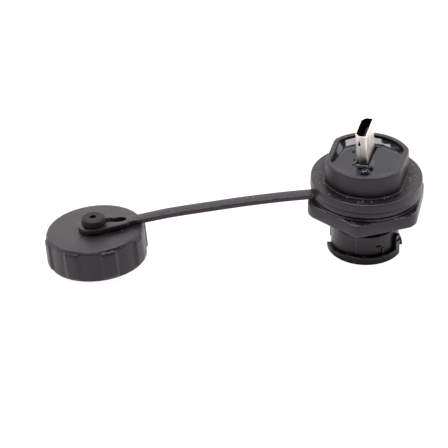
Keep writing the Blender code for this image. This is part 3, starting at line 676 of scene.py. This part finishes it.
# Painted highlight: the flash is coloured paler than the housing's nylon it is moulded from, so the raised
# parting line shows light.
FLASH_HIGHLIGHT = moulded("flash_painted_highlight", (0.012, 0.010, 0.0115), (0.035, 0.030, 0.033), 0.45)
NUT_NYLON = moulded("nut_nylon", (0.0030, 0.0025, 0.0029), (0.0070, 0.0058, 0.0067), 0.36, dust=0.25)
CAP_NYLON = moulded("cap_nylon", (0.0032, 0.0026, 0.0031), (0.0070, 0.0058, 0.0067), 0.37, dust=0.16)
ELASTOMER = moulded("tether_elastomer", (0.0035, 0.0030, 0.0034), (0.0075, 0.0063, 0.0072), 0.38, grain=1.4)
RUBBER = moulded("seal_rubber", (0.006, 0.006, 0.006), (0.012, 0.012, 0.012), 0.58)
INSULATOR = moulded("tongue_plastic", (0.006, 0.006, 0.006), (0.012, 0.012, 0.012), 0.55, gloss=0.2)
PIN_NYLON = moulded("pin_nylon", (0.007, 0.006, 0.007), (0.012, 0.0105, 0.0115), 0.60, gloss=0.3)
# Painted shade: a dark material for the shells' insides and the pin's hole, which stand in shade.
SHADED = moulded("shell_inside_painted_shade", (0.004, 0.004, 0.003), (0.008, 0.007, 0.006), 0.70, gloss=0.1)
RESIN = resin()
STEEL = plated("plated_shell", (0.95, 0.88, 0.82), (0.74, 0.67, 0.60), 0.40, 0.6, darker_below=21.6 * MM)
GOLD = plated("contact_gold", (0.90, 0.66, 0.28), (0.72, 0.50, 0.20), 0.25)
LAMINATE = laminate()


# ---- receptacle

def thread_radius(angle, z):
    """The thread's surface: a helical ridge with narrow crests, which fades out at both ends."""
    phase = ((z - THREAD_BOTTOM) / THREAD_PITCH - angle / FULL_TURN) % 1.0
    height = max(0.0, min(1.0, (0.42 - abs(phase - 0.5)) / 0.33))
    fade = max(0.0, min(1.0, (z - THREAD_BOTTOM) / THREAD_PITCH, (THREAD_TOP - z) / THREAD_PITCH))
    return THREAD_ROOT + (THREAD_CREST - THREAD_ROOT) * height * fade


def thread_loops(angles):
    count = ceil((THREAD_TOP - THREAD_BOTTOM) / THREAD_PITCH * ROWS_PER_PITCH)
    loops = []
    for row in range(count + 1):
        z = THREAD_TOP - (THREAD_TOP - THREAD_BOTTOM) * row / count
        loop = []
        for angle in angles:
            radius = thread_radius(angle, z)
            loop.append((radius * cos(angle), radius * sin(angle), z))
        loops.append(loop)
    return loops


def cup_loops(angles):
    """The cup from its ledge inside, over the rim and down to the fillet at its foot."""
    profile = fillet((
        (CUP_WALL + CUP_DRAFT, BOARD_LEDGE, 0.0),
        (CUP_WALL, CUP_TOP, CUP_RIM_ROUND_INSIDE),
        (CUP_DRAFT / 2, CUP_TOP, CUP_RIM_ROUND_OUTSIDE),
        (0.0, FLANGE_TOP + CUP_FOOT, 0.0),
    ))
    loops = [flatted(inset, z, angles) for inset, z in profile]
    for share in (0.3, 0.6, 0.85):
        lift = CUP_FOOT * (1 - share) ** 2
        loops.append(flatted(-CUP_FOOT * share ** 2, FLANGE_TOP + lift, angles))
    return loops


def flange_loops(angles):
    profile = fillet((
        (CUP_RADIUS + 0.5 * MM, FLANGE_TOP, 0.0),
        (FLANGE_RADIUS, FLANGE_TOP, FLANGE_TOP_ROUND),
        (FLANGE_LOWER_RADIUS, FLANGE_BOTTOM, FLANGE_BOTTOM_ROUND),
        (THREAD_ROOT + 0.4 * MM, FLANGE_BOTTOM, 0.0),
    ))
    return [circle(radius, z, angles) for radius, z in profile]


def barrel_loops(angles):
    """From the thread's lower end over the neck, down the barrel and up its bore."""
    neck = fillet((
        (THREAD_ROOT, THREAD_BOTTOM - 0.15 * MM, 0.0),
        (THREAD_ROOT, NECK_TOP + 0.5 * MM, 0.1 * MM),
        (NECK_RADIUS, NECK_TOP, 0.2 * MM),
        (NECK_RADIUS, NECK_BOTTOM, 0.1 * MM),
        (BARREL_RADIUS, NECK_BOTTOM, 0.15 * MM),
        (BARREL_RADIUS, BARREL_FIRST_ROW, 0.0),
    ))
    mouth = fillet((
        (BARREL_RADIUS, BARREL_LAST_ROW, 0.0),
        (BARREL_RADIUS, 0.0, 0.12 * MM),
        (BORE_RADIUS, 0.0, 0.30 * MM),
        (BORE_RADIUS, PARTITION_BOTTOM, 0.0),
    ))
    rows = [(BARREL_RADIUS, height) for height in BARREL_ROWS]
    return [circle(radius, z, angles) for radius, z in neck + rows + mouth]


def housing_shape():
    angles = even_angles(HOUSING_SIDES)
    loops = cup_loops(angles) + flange_loops(angles) + thread_loops(angles) + barrel_loops(angles)
    loops += [boxed(*BOARD_SLOT, z, angles) for z in (PARTITION_BOTTOM, PARTITION_TOP)]
    loops += [circle(CAVITY_RADIUS, z, angles) for z in (PARTITION_TOP, BOARD_LEDGE)]
    shape = skin(bmesh.new(), loops, closed=True)
    bmesh.ops.rotate(shape, verts=shape.verts, matrix=Matrix.Rotation(CUP_TURN, 3, "Z"))
    return shape


def ridge_shape():
    """Two ramped bayonet ridges, each with a stop wall at its high end."""
    shape = bmesh.new()
    for half_turn in (0.0, pi):
        start = RIDGE_START + half_turn
        wall_end = start - STOP_WIDTH
        end = RIDGE_END + half_turn
        tops = level_tops(start, wall_end, STOP_HEIGHT, 6)
        for step in range(RIDGE_STEPS + 1):
            angle = wall_end - RIDGE_OVERLAP + (end - wall_end) * step / RIDGE_STEPS
            share = min(1.0, (angle - end + RIDGE_OVERLAP) / RIDGE_RAMP)
            tops.append((angle, RIDGE_LOW + (RIDGE_HIGH - RIDGE_LOW) * share))
        add_arc_block(shape, BARREL_RADIUS - SUNK, RIDGE_RADIUS, 0.0, tops, RIDGE_CHAMFER)
    return shape


def detent_shape():
    """A low upright rib before each stop wall."""
    shape = bmesh.new()
    for half_turn in (0.0, pi):
        start = DETENT_ANGLE + half_turn
        tops = level_tops(start, start - DETENT_WIDTH, DETENT_HEIGHT, 3)
        add_arc_block(shape, BARREL_RADIUS - SUNK, DETENT_RADIUS, RIDGE_LOW, tops, DETENT_CHAMFER)
    return shape


def parting_shape():
    """The mould's parting line, a hair of flash down both sides of the barrel, a ridge and the flange."""
    shape = bmesh.new()
    for half_turn in (0.0, pi):
        middle = PARTING_ANGLE + half_turn
        for radius, bottom, top in (
            (BARREL_RADIUS, 2.1 * MM, NECK_BOTTOM - 0.3 * MM),
            (RIDGE_RADIUS, 0.12 * MM, RIDGE_LOW + 0.35 * MM),
            (FLANGE_RADIUS + 0.02 * MM, FLANGE_BOTTOM + 0.25 * MM, FLANGE_TOP - 0.35 * MM),
        ):
            half = PARTING_HALF_WIDTH * BARREL_RADIUS / radius
            tops = level_tops(middle - half, middle + half, top, 2)
            add_arc_block(shape, radius - PARTING_DEPTH, radius + PARTING_RISE, bottom, tops)
    return shape


def pocket_shape():
    """Shallow core pockets above the bayonet ridge."""
    shape = bmesh.new()
    inner = BARREL_RADIUS - 0.55 * MM
    outer = RIDGE_RADIUS + 0.4 * MM
    for start, end, bottom, top in POCKETS:
        for half_turn in (0.0, pi):
            tops = level_tops(radians(start) + half_turn, radians(end) + half_turn, top * MM, 4)
            add_arc_block(shape, inner, outer, bottom * MM, tops)
    return shape


def make_housing():
    joins = (ridge_shape(), detent_shape())
    made = piece("housing_detailed", housing_shape(), AXIS_FRAME, (NYLON,), joins, (pocket_shape(),))
    settle(made, "receptacle", "housing_nylon", "receptacle_housing")
    # The flash takes the paler material, a painted highlight along the parting line.
    settle(piece("parting_flash", parting_shape(), AXIS_FRAME, (FLASH_HIGHLIGHT,)), "receptacle", "housing_nylon")


def meniscus(angle):
    """How far in and how high the resin climbs the cup's wall: most at the back and its corners."""
    behind = max(0.0, cos(angle - MENISCUS_MIDDLE))
    corners = sum(exp(-((angle - middle) / MENISCUS_CORNER_WIDTH) ** 2) for middle in MENISCUS_CORNERS)
    uneven = 0.5 + 0.3 * sin(3 * angle + 1.0) + 0.2 * sin(7 * angle)
    reach = MENISCUS_REACH + MENISCUS_BACK_REACH * behind + MENISCUS_CORNER_REACH * corners
    rise = MENISCUS_RISE + MENISCUS_BACK_RISE * behind + MENISCUS_CORNER_RISE * corners
    return reach, rise + MENISCUS_UNEVEN_RISE * uneven


def climb(share):
    """The resin's height against a wall: straight for most of its reach, then easing to level."""
    straight = (1 + MENISCUS_EASE_FROM) / 2
    if share < MENISCUS_EASE_FROM:
        return 1 - share / straight
    return (1 - share) ** 2 / (2 * straight * (1 - MENISCUS_EASE_FROM))


def make_resin():
    """The potting: a pool that climbs its walls and the shell that stands in it."""
    angles = even_angles(HOUSING_SIDES)
    gap = CUP_WALL + POTTING_GAP
    slot = Matrix.Rotation(-CUP_TURN, 2) @ SHELL_BASE.xy
    loops = [flatted(gap, POTTING_BOTTOM, angles)]
    for share in MENISCUS_SHARES:
        loop = []
        for angle in angles:
            reach, rise = meniscus(angle)
            x, y, z = flatted(gap + reach * share, POTTING_TOP, (angle,))[0]
            loop.append((x, y, z + rise * climb(share)))
        loops.append(loop)
    inner = boxed(*SHELL_SLOT, POTTING_TOP, angles, slot)
    outer = loops[-1]
    for share, rise in SHELL_CLIMB:
        loop = []
        for (ax, ay, _), (bx, by, _) in zip(outer, inner):
            loop.append((ax + (bx - ax) * share, ay + (by - ay) * share, POTTING_TOP + rise * MM))
        loops.append(loop)
    loops.append(boxed(*SHELL_SLOT, POTTING_BOTTOM, angles, slot))
    shape = skin(bmesh.new(), loops, closed=True)
    bmesh.ops.rotate(shape, verts=shape.verts, matrix=Matrix.Rotation(CUP_TURN, 3, "Z"))
    made = piece("resin_pool", shape, AXIS_FRAME, (RESIN,))
    settle(made, "receptacle", "potting_epoxy", "potting_compound")


def bead(name, x, y, radius, height, stretch):
    """A small dome of resin, sunk into the pool and drawn out sideways."""
    angles = even_angles(32)
    loops = []
    for step in range(BEAD_ROWS + 1):
        rise = BEAD_FOOT + (BEAD_CROWN - BEAD_FOOT) * step / BEAD_ROWS
        loops.append(circle(radius * sqrt(1 - rise ** 2) * MM, height * rise * MM, angles))
    place = Matrix.Translation(AXIS + Vector((x * MM, y * MM, POTTING_TOP)))
    place = place @ Matrix.Scale(stretch, 4, (1, 0, 0))
    made = piece(name, skin(bmesh.new(), loops), place, (RESIN,))
    settle(made, "receptacle", "potting_epoxy")


def make_beads():
    for index, sizes in enumerate(BEADS):
        bead(f"resin_bead_{index + 1}", *sizes)


# ---- USB shells

def shell_outline(inset):
    half = SHELL_WIDTH / 2 - inset
    top = SHELL_HEIGHT / 2 - inset
    chamfer_x = half - SHELL_CHAMFER[0] + inset * 0.4
    chamfer_y = -top + SHELL_CHAMFER[1] - inset * 0.4
    eased = SHELL_ROUND_INSIDE if inset else SHELL_ROUND_OUTSIDE
    right = fillet((
        (0.0, top, 0.0),
        (half, top, eased),
        (half, chamfer_y, eased),
        (chamfer_x, -top, eased),
        (0.0, -top, 0.0),
    ))
    left = [(-x, y) for x, y in reversed(right[1:-1])]
    return right + left


def shell_shape(length):
    outer = shell_outline(0.0)
    inner = shell_outline(SHELL_WALL)
    lip = shell_outline(SHELL_LIP)
    inner_lip = shell_outline(SHELL_WALL - SHELL_LIP)
    shoulder = length - SHELL_LIP
    levels = (
        (outer, 0.0),
        (outer, shoulder),
        (lip, length),
        (inner_lip, length),
        (inner, shoulder),
        (inner, 0.0),
    )
    loops = [[(x, y, z) for x, y in outline] for outline, z in levels]
    return skin(bmesh.new(), loops, closed=True)


def latch_hole(length):
    """A teardrop hole in one narrow side of the shell."""
    outline = [LATCH_POINT] + arc(0.0, 0.0, LATCH_RADIUS, radians(170), radians(370), 12)
    shape = prism(outline, 0.0, SHELL_WIDTH)
    turn = Matrix.Rotation(radians(90), 3, "Y") @ Matrix.Rotation(radians(90), 3, "Z")
    bmesh.ops.rotate(shape, verts=shape.verts, matrix=turn)
    bmesh.ops.translate(shape, verts=shape.verts, vec=(0.0, LATCH_ASIDE, length - LATCH_DEPTH))
    return shape


def darken_inside(made, place):
    """Paint shade on the shell's inner walls: they take the dark SHADED material in place of the plated
    metal.
    """
    inverse = place.inverted()
    half = SHELL_WIDTH / 2 - SHELL_WALL * 0.8
    top = SHELL_HEIGHT / 2 - SHELL_WALL * 0.8
    for polygon in made.data.polygons:
        middle = inverse @ polygon.center
        inward = (inverse.to_3x3() @ polygon.normal).dot(Vector((middle.x, middle.y * 3, 0.0))) < 0
        if inward and abs(middle.x) < half and abs(middle.y) < top:
            polygon.material_index = 1


def make_shells():
    along_flats = Matrix.Rotation(CUP_TURN + pi / 2, 4, "Z")
    lean = Matrix.Rotation(SHELL_LEAN, 4, "Y")
    rear = Matrix.Translation(AXIS + SHELL_BASE) @ lean @ along_flats @ Matrix.Rotation(pi, 4, "Z")
    front_low, front_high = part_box("front_usb_shell")
    front_top = AXIS + Vector((0, 0, front_high.z))
    front = Matrix.Translation(front_top) @ along_flats @ Matrix.Rotation(pi, 4, "X")
    front_length = front_high.z - front_low.z
    for name, place, length in (
        ("rear_usb_shell", rear, SHELL_LENGTH),
        ("front_usb_shell", front, front_length),
    ):
        shape = shell_shape(length)
        made = piece(name + "_detailed", shape, place, (STEEL, SHADED), (), (latch_hole(length),))
        # The shell's inner walls take painted shade.
        darken_inside(made, place)
        settle(made, "receptacle", "plated_shell", name)


# ---- nut

def hexagon_corner():
    centre = (NUT_ACROSS_FLATS / 2 - NUT_CORNER_RADIUS) / cos(pi / 6)
    half = atan2(NUT_CORNER_RADIUS / 2, centre + NUT_CORNER_RADIUS * cos(pi / 6))
    return centre, half


def hexagon_angles():
    half = hexagon_corner()[1]
    angles = []
    for side in range(6):
        corner = FULL_TURN * side / 6
        angles += [corner + half * (step / 6 - 1) for step in range(12)]
        angles += [corner + half + (pi / 3 - 2 * half) * step / 16 for step in range(16)]
    return angles


def hexagon(inset, z, angles, corner_drop=0.0):
    centre, half = hexagon_corner()
    loop = []
    for angle in angles:
        off = (angle + pi / 6) % (pi / 3) - pi / 6
        if abs(off) <= half:
            reach = centre * cos(off) + sqrt(NUT_CORNER_RADIUS ** 2 - (centre * sin(off)) ** 2)
        else:
            reach = NUT_ACROSS_FLATS / 2 / cos(pi / 6 - abs(off))
        drop = corner_drop * (reach - NUT_ACROSS_FLATS / 2)
        loop.append(((reach - inset) * cos(angle), (reach - inset) * sin(angle), z - drop))
    return loop


def nut_side(angles):
    """The nut's outside, with softened edges and its corners cut away by both chamfers."""
    low = NUT_BOTTOM + NUT_CHAMFER_DEPTH
    high = NUT_TOP - NUT_CHAMFER_DEPTH
    loops = [hexagon(NUT_CHAMFER, NUT_BOTTOM, angles)]
    for inset, depth in NUT_EDGE_ROWS:
        loops.append(hexagon(inset * MM, low + depth * MM, angles, -NUT_CORNER_SLOPE))
    for inset, depth in reversed(NUT_EDGE_ROWS):
        loops.append(hexagon(inset * MM, high - depth * MM, angles, NUT_CORNER_SLOPE))
    loops.append(hexagon(NUT_CHAMFER, NUT_TOP, angles))
    return loops


def nut_bore(angles):
    """The threaded bore, from the top down, with a chamfer at both ends."""
    high = NUT_TOP - NUT_BORE_CHAMFER
    low = NUT_BOTTOM + NUT_BORE_CHAMFER
    loops = [circle(NUT_BORE + NUT_BORE_CHAMFER, NUT_TOP, angles), circle(NUT_BORE, high, angles)]
    for row in range(1, NUT_THREAD_ROWS):
        z = high - (high - low) * row / NUT_THREAD_ROWS
        loop = []
        for angle in angles:
            wave = 0.5 + 0.5 * cos(FULL_TURN * (z / THREAD_PITCH - (angle + NUT_TURN) / FULL_TURN))
            radius = NUT_BORE + NUT_THREAD_DEPTH * wave
            loop.append((radius * cos(angle), radius * sin(angle), z))
        loops.append(loop)
    loops.append(circle(NUT_BORE, low, angles))
    loops.append(circle(NUT_BORE + NUT_BORE_CHAMFER, NUT_BOTTOM, angles))
    return loops


def make_nut():
    angles = hexagon_angles()
    shape = skin(bmesh.new(), nut_side(angles) + nut_bore(angles), closed=True)
    place = AXIS_FRAME @ Matrix.Rotation(NUT_TURN, 4, "Z")
    settle(piece("nut_detailed", shape, place, (NUT_NYLON,)), "nut", "nut_nylon", "panel_nut")


# ---- tether

def route_points():
    """The strap's listed points, then three along the eye's neck."""
    points = [AXIS + Vector((-distance, aside, height)) * MM for distance, aside, height in STRAP_ROUTE]
    middle = (EYE_BOTTOM + EYE_TOP) / 2
    for reach in NECK_ROUTE:
        points.append(CAP_FRAME @ Vector((reach, 0.0, middle)))
    return points


def route_at(distance):
    """A smooth curve through the route's points, read at a distance from the receptacle."""
    points = route_points()
    spans = list(zip(points, points[1:]))
    index = 0
    while index < len(spans) - 1 and distance > AXIS.x - spans[index][1].x:
        index += 1
    before = points[max(index - 1, 0)]
    start, end = spans[index]
    after = points[min(index + 2, len(points) - 1)]
    width = start.x - end.x
    share = (start.x - AXIS.x + distance) / width
    start_slope = (end - before) * (width / (before.x - end.x))
    end_slope = (after - start) * (width / (start.x - after.x))
    square = share * share
    cube = square * share
    place = (2 * cube - 3 * square + 1) * start + (cube - 2 * square + share) * start_slope
    return place + (3 * square - 2 * cube) * end + (cube - square) * end_slope


def strap_section(distance):
    """A rectangular section with eased corners, which rolls to lie flat on the cap at its far end."""
    step_length = TINY * 50
    along = (route_at(distance + step_length) - route_at(distance - step_length)).normalized()
    roll = max(0.0, min(1.0, (distance - ROLL_START) / ROLL_LENGTH))
    upward = Vector((0, 0, 1)).lerp(CAP_TURN @ Vector((0, 0, 1)), roll)
    across = along.cross(upward).normalized()
    up = across.cross(along)
    place = route_at(distance)
    loop = []
    for quarter, (side, rise) in enumerate(((1, 1), (-1, 1), (-1, -1), (1, -1))):
        corner = place + across * side * (STRAP_WIDTH / 2 - STRAP_EDGE)
        corner += up * rise * (STRAP_THICKNESS / 2 - STRAP_EDGE)
        for step in range(4):
            angle = (quarter + step / 3) * pi / 2
            loop.append(corner + (across * cos(angle) + up * sin(angle)) * STRAP_EDGE)
    return loop


def strap_shape(start, end):
    steps = ceil((end - start) / STRAP_STEP)
    sections = [strap_section(start + (end - start) * step / steps) for step in range(steps + 1)]
    return skin(bmesh.new(), sections)


def bend_zone(made):
    """Bake the piece's placement into its mesh."""
    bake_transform(made)


def ring_shape():
    seam = RING_INNER_RADIUS + RING_SEAM
    profile = fillet((
        (seam, RING_TOP, 0.0),
        (RING_RADIUS, RING_TOP, RING_ROUND),
        (RING_RADIUS, RING_BOTTOM, RING_ROUND),
        (RING_INNER_RADIUS, RING_BOTTOM, RING_ROUND),
        (RING_INNER_RADIUS, RING_TOP, RING_ROUND),
        (seam, RING_TOP, 0.0),
    ))[:-1]
    shape = skin(bmesh.new(), [circle(radius, z, even_angles(160)) for radius, z in profile], closed=True)
    bmesh.ops.translate(shape, verts=shape.verts, vec=AXIS)
    return shape


def eye_outline():
    """A round eye whose neck narrows to the strap."""
    lean = acos((EYE_RADIUS - EYE_NECK_RADIUS) / EYE_NECK_REACH)
    right = [(EYE_END, STRAP_WIDTH / 2), (EYE_TAPER_START, STRAP_WIDTH / 2)]
    right += arc(EYE_NECK_REACH, 0.0, EYE_NECK_RADIUS, EYE_TAPER_ANGLE, lean, 8)
    right += arc(0.0, 0.0, EYE_RADIUS, lean, pi, 28)[:-1]
    left = [(x, -y) for x, y in reversed(right)]
    return right + [(-EYE_RADIUS, 0.0)] + left


def keyhole_shape():
    """The eye's bore, with a slot that opens into a longer hole on the strap's side."""
    meet = asin(KEYHOLE_SLOT / EYE_BORE)
    outline = arc(0.0, 0.0, EYE_BORE, meet, FULL_TURN - meet, 40)
    outline += [(x * MM, -y * MM) for x, y in KEYHOLE_SIDE]
    outline += [(x * MM, y * MM) for x, y in reversed(KEYHOLE_SIDE)]
    return prism(outline, EYE_BOTTOM - MM, EYE_TOP + MM)


def make_eye():
    strap_end = CAP_FRAME @ Vector((STRAP_END_ON_EYE, 0, EYE_TOP / 2))
    strap = strap_shape(OUTER_SEAM, AXIS.x - strap_end.x)
    bmesh.ops.transform(strap, matrix=CAP_FRAME.inverted(), verts=strap.verts)
    tab = prism([(x * MM, y * MM) for x, y in TAB_OUTLINE], TAB_BOTTOM, TAB_TOP)
    eye = prism(eye_outline(), EYE_BOTTOM, EYE_TOP)
    made = piece("tether_end", eye, CAP_FRAME, (ELASTOMER,), (strap, tab), (keyhole_shape(),), EYE_EASE)
    bend_zone(made)
    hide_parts("tether_eye", "tether_strap_outer")


def make_tether():
    unmoved = Matrix.Identity(4)
    root = strap_shape(STRAP_START, INNER_SEAM)
    made = piece("tether_start", ring_shape(), unmoved, (ELASTOMER,), (root,))
    bend_zone(made)
    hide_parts("tether_ring", "tether_strap_inner")
    made = piece("tether_middle", strap_shape(INNER_SEAM, OUTER_SEAM), unmoved, (ELASTOMER,))
    bend_zone(made)
    make_eye()


# ---- cap

def rib_reach(angle):
    """How far up a rib's profile an angle lies: 1 on its land, 0 between ribs."""
    off = (angle - RIB_FIRST + pi / RIB_COUNT) % (FULL_TURN / RIB_COUNT) - pi / RIB_COUNT
    share = max(0.0, min(1.0, (RIB_HALF_WIDTH - abs(off)) / RIB_FLANK))
    return share * share * (3 - 2 * share)


def cap_angles():
    """Angles round the cap, with extra points on every rib's flanks."""
    land = RIB_HALF_WIDTH - RIB_FLANK
    gap = FULL_TURN / RIB_COUNT - 2 * RIB_HALF_WIDTH
    marks = [-RIB_HALF_WIDTH + RIB_FLANK * share for share in FLANK_SHARES]
    marks += [-land + 2 * land * step / 8 for step in range(1, 8)]
    marks += [RIB_HALF_WIDTH - RIB_FLANK * share for share in reversed(FLANK_SHARES)]
    marks += [RIB_HALF_WIDTH + gap * step / 14 for step in range(1, 14)]
    middles = [RIB_FIRST + FULL_TURN * index / RIB_COUNT for index in range(RIB_COUNT)]
    return [middle + mark for middle in middles for mark in marks]


def cap_side(angles):
    """The cap's side, whose ribs start with a chamfer just under the disc's edge."""
    loops = []
    for height, share in RIB_ROWS:
        wall = CAP_RADIUS - max(0.0, CAP_EDGE_DEPTH + height * MM) * CAP_EDGE_SLOPE
        loop = []
        for angle in angles:
            radius = wall + (RIB_RADIUS - wall) * share * rib_reach(angle)
            loop.append((radius * cos(angle), radius * sin(angle), height * MM))
        loops.append(loop)
    return loops


def lug_shape():
    """Two bayonet lugs inside the cap's mouth."""
    shape = bmesh.new()
    wall = CAP_RADIUS - CAP_WALL
    bottom = MOUTH_LIP - CAP_DEPTH
    for middle in (0.0, pi):
        tops = level_tops(middle - LUG_HALF_WIDTH, middle + LUG_HALF_WIDTH, bottom + LUG_HEIGHT, 8)
        add_arc_block(shape, LUG_RADIUS, wall + 0.5 * MM, bottom, tops)
    return shape


def make_cap():
    angles = cap_angles()
    inner = CAP_RADIUS - CAP_WALL
    top = fillet((
        (3.0 * MM, 0.0, 0.0),
        (CAP_DISC_RADIUS, 0.0, 0.16 * MM),
        (CAP_RADIUS - 0.1 * MM, -0.36 * MM, 0.0),
    ))
    mouth = fillet((
        (CAP_RADIUS, MOUTH_LIP / 2 - CAP_DEPTH, 0.0),
        (CAP_RADIUS - 0.1 * MM, -CAP_DEPTH, 0.12 * MM),
        (inner + 0.1 * MM, -CAP_DEPTH, 0.2 * MM),
        (inner, MOUTH_LIP - CAP_DEPTH, 0.1 * MM),
        (inner, -CAP_ROOF, 0.3 * MM),
        (inner - MM, -CAP_ROOF, 0.0),
    ))
    loops = [circle(PIN_RADIUS + 0.1 * MM, z, angles) for z in (-1.1 * MM, 0.0)]
    loops += [circle(radius, z, angles) for radius, z in top]
    loops += cap_side(angles)
    loops += [circle(radius, z, angles) for radius, z in mouth]
    made = piece("cap_detailed", skin(bmesh.new(), loops), CAP_FRAME, (CAP_NYLON,), (lug_shape(),))
    settle(made, "cap", "cap_nylon", "cap_shell")


def make_pin():
    """A button-headed pin with a dished top and a hole down its middle, whose walls take the dark material
    as painted shade.
    """
    profile = fillet((
        (PIN_HOLE_RADIUS - 0.04 * MM, PIN_HEAD_TOP - PIN_HOLE_DEPTH, 0.0),
        (PIN_HOLE_RADIUS, PIN_HEAD_TOP - 0.10 * MM, 0.08 * MM),
        (1.25 * MM, PIN_HEAD_TOP - 0.03 * MM, 0.3 * MM),
        (1.95 * MM, PIN_HEAD_TOP, 0.4 * MM),
        (2.50 * MM, PIN_HEAD_TOP - 0.28 * MM, 0.25 * MM),
        (PIN_HEAD_RADIUS, PIN_HEAD_BOTTOM, 0.12 * MM),
        (PIN_RADIUS, PIN_HEAD_BOTTOM, 0.1 * MM),
        (PIN_RADIUS, PIN_FOOT, 0.0),
    ))
    loops = [circle(radius, z, even_angles(72)) for radius, z in profile]
    made = piece("pin_detailed", skin(bmesh.new(), loops), CAP_FRAME, (PIN_NYLON, SHADED))
    inverse = CAP_FRAME.inverted()
    # Painted shade: the hole's walls take the dark SHADED material.
    for polygon in made.data.polygons:
        if (inverse @ polygon.center).xy.length < PIN_HOLE_RADIUS - 0.005 * MM:
            polygon.material_index = 1
    settle(made, "cap", "cap_nylon", "cap_pivot_pin")


# ---- carried-over pieces and the studio

def dress_frame_nodes():
    """Procedural materials for the CAD nodes that show as they are."""
    finishes = {
        "adapter_board": LAMINATE,
        "front_insert": NYLON,
        "mouth_seal": RUBBER,
        "panel_gasket": RUBBER,
        "cap_seal": RUBBER,
    }
    for name, node in frame["nodes"].items():
        finish = finishes.get(name)
        if "contact" in name:
            finish = GOLD
        if name.endswith("tongue"):
            finish = INSULATOR
        if finish:
            node.data.materials.clear()
            node.data.materials.append(finish)


def area_light(name, place, target, width, depth, power):
    lamp = bpy.data.lights.new(name, "AREA")
    lamp.shape = "RECTANGLE"
    lamp.size = width
    lamp.size_y = depth
    lamp.energy = power
    made = bpy.data.objects.new(name, lamp)
    bpy.context.collection.objects.link(made)
    made.location = place
    made.rotation_euler = (Vector(place) - Vector(target)).to_track_quat("Z", "Y").to_euler()


def make_floor():
    nodes = Nodes("studio_floor")
    tone = nodes.noise(3.0, 2.0)
    nodes.link(nodes.mix(tone, (0.10, 0.10, 0.10), (0.12, 0.12, 0.12)), nodes.shader.inputs["Base Color"])
    nodes.shader.inputs["Roughness"].default_value = 0.9
    nodes.shader.inputs["Emission Color"].default_value = WHITE
    nodes.shader.inputs["Emission Strength"].default_value = FLOOR_GLOW
    shape = bmesh.new()
    bmesh.ops.create_grid(shape, x_segments=1, y_segments=1, size=FLOOR_SIZE)
    floor = raw_object("studio_floor", shape, Matrix.Translation((0.0, 0.0, -FLOOR_DROP)))
    floor.data.materials.append(nodes.material)


def make_room():
    """A dim white room that looks bright behind the floor's far edge."""
    world = bpy.data.worlds.new("studio_world")
    world.use_nodes = True
    tree = world.node_tree
    dim = tree.nodes["Background"]
    dim.inputs["Color"].default_value = WHITE
    dim.inputs["Strength"].default_value = ROOM_GLOW
    bright = tree.nodes.new("ShaderNodeBackground")
    bright.inputs["Color"].default_value = WHITE
    seen = tree.nodes.new("ShaderNodeLightPath")
    choose = tree.nodes.new("ShaderNodeMixShader")
    tree.links.new(seen.outputs["Is Camera Ray"], choose.inputs["Fac"])
    tree.links.new(dim.outputs["Background"], choose.inputs[1])
    tree.links.new(bright.outputs["Background"], choose.inputs[2])
    tree.links.new(choose.outputs["Shader"], tree.nodes["World Output"].inputs["Surface"])
    bpy.context.scene.world = world


def make_studio():
    make_floor()
    make_room()
    bpy.context.scene.view_settings.view_transform = "Standard"
    for light in LIGHTS:
        area_light(*light)


def make_camera():
    camera = bpy.data.cameras.new("photo_view")
    camera.sensor_width = SENSOR
    camera.lens = LENS
    camera.clip_start = 0.01
    made = bpy.data.objects.new("photo_view", camera)
    bpy.context.collection.objects.link(made)
    level = cos(VIEW_RISE)
    back = Vector((sin(VIEW_TURN) * level, -cos(VIEW_TURN) * level, sin(VIEW_RISE)))
    made.location = VIEW_TARGET + back * VIEW_DISTANCE
    made.rotation_euler = back.to_track_quat("Z", "Y").to_euler()
    bpy.context.scene.camera = made


make_camera()
make_studio()
make_housing()
make_resin()
make_beads()
make_shells()
make_nut()
make_tether()
make_cap()
make_pin()
dress_frame_nodes()
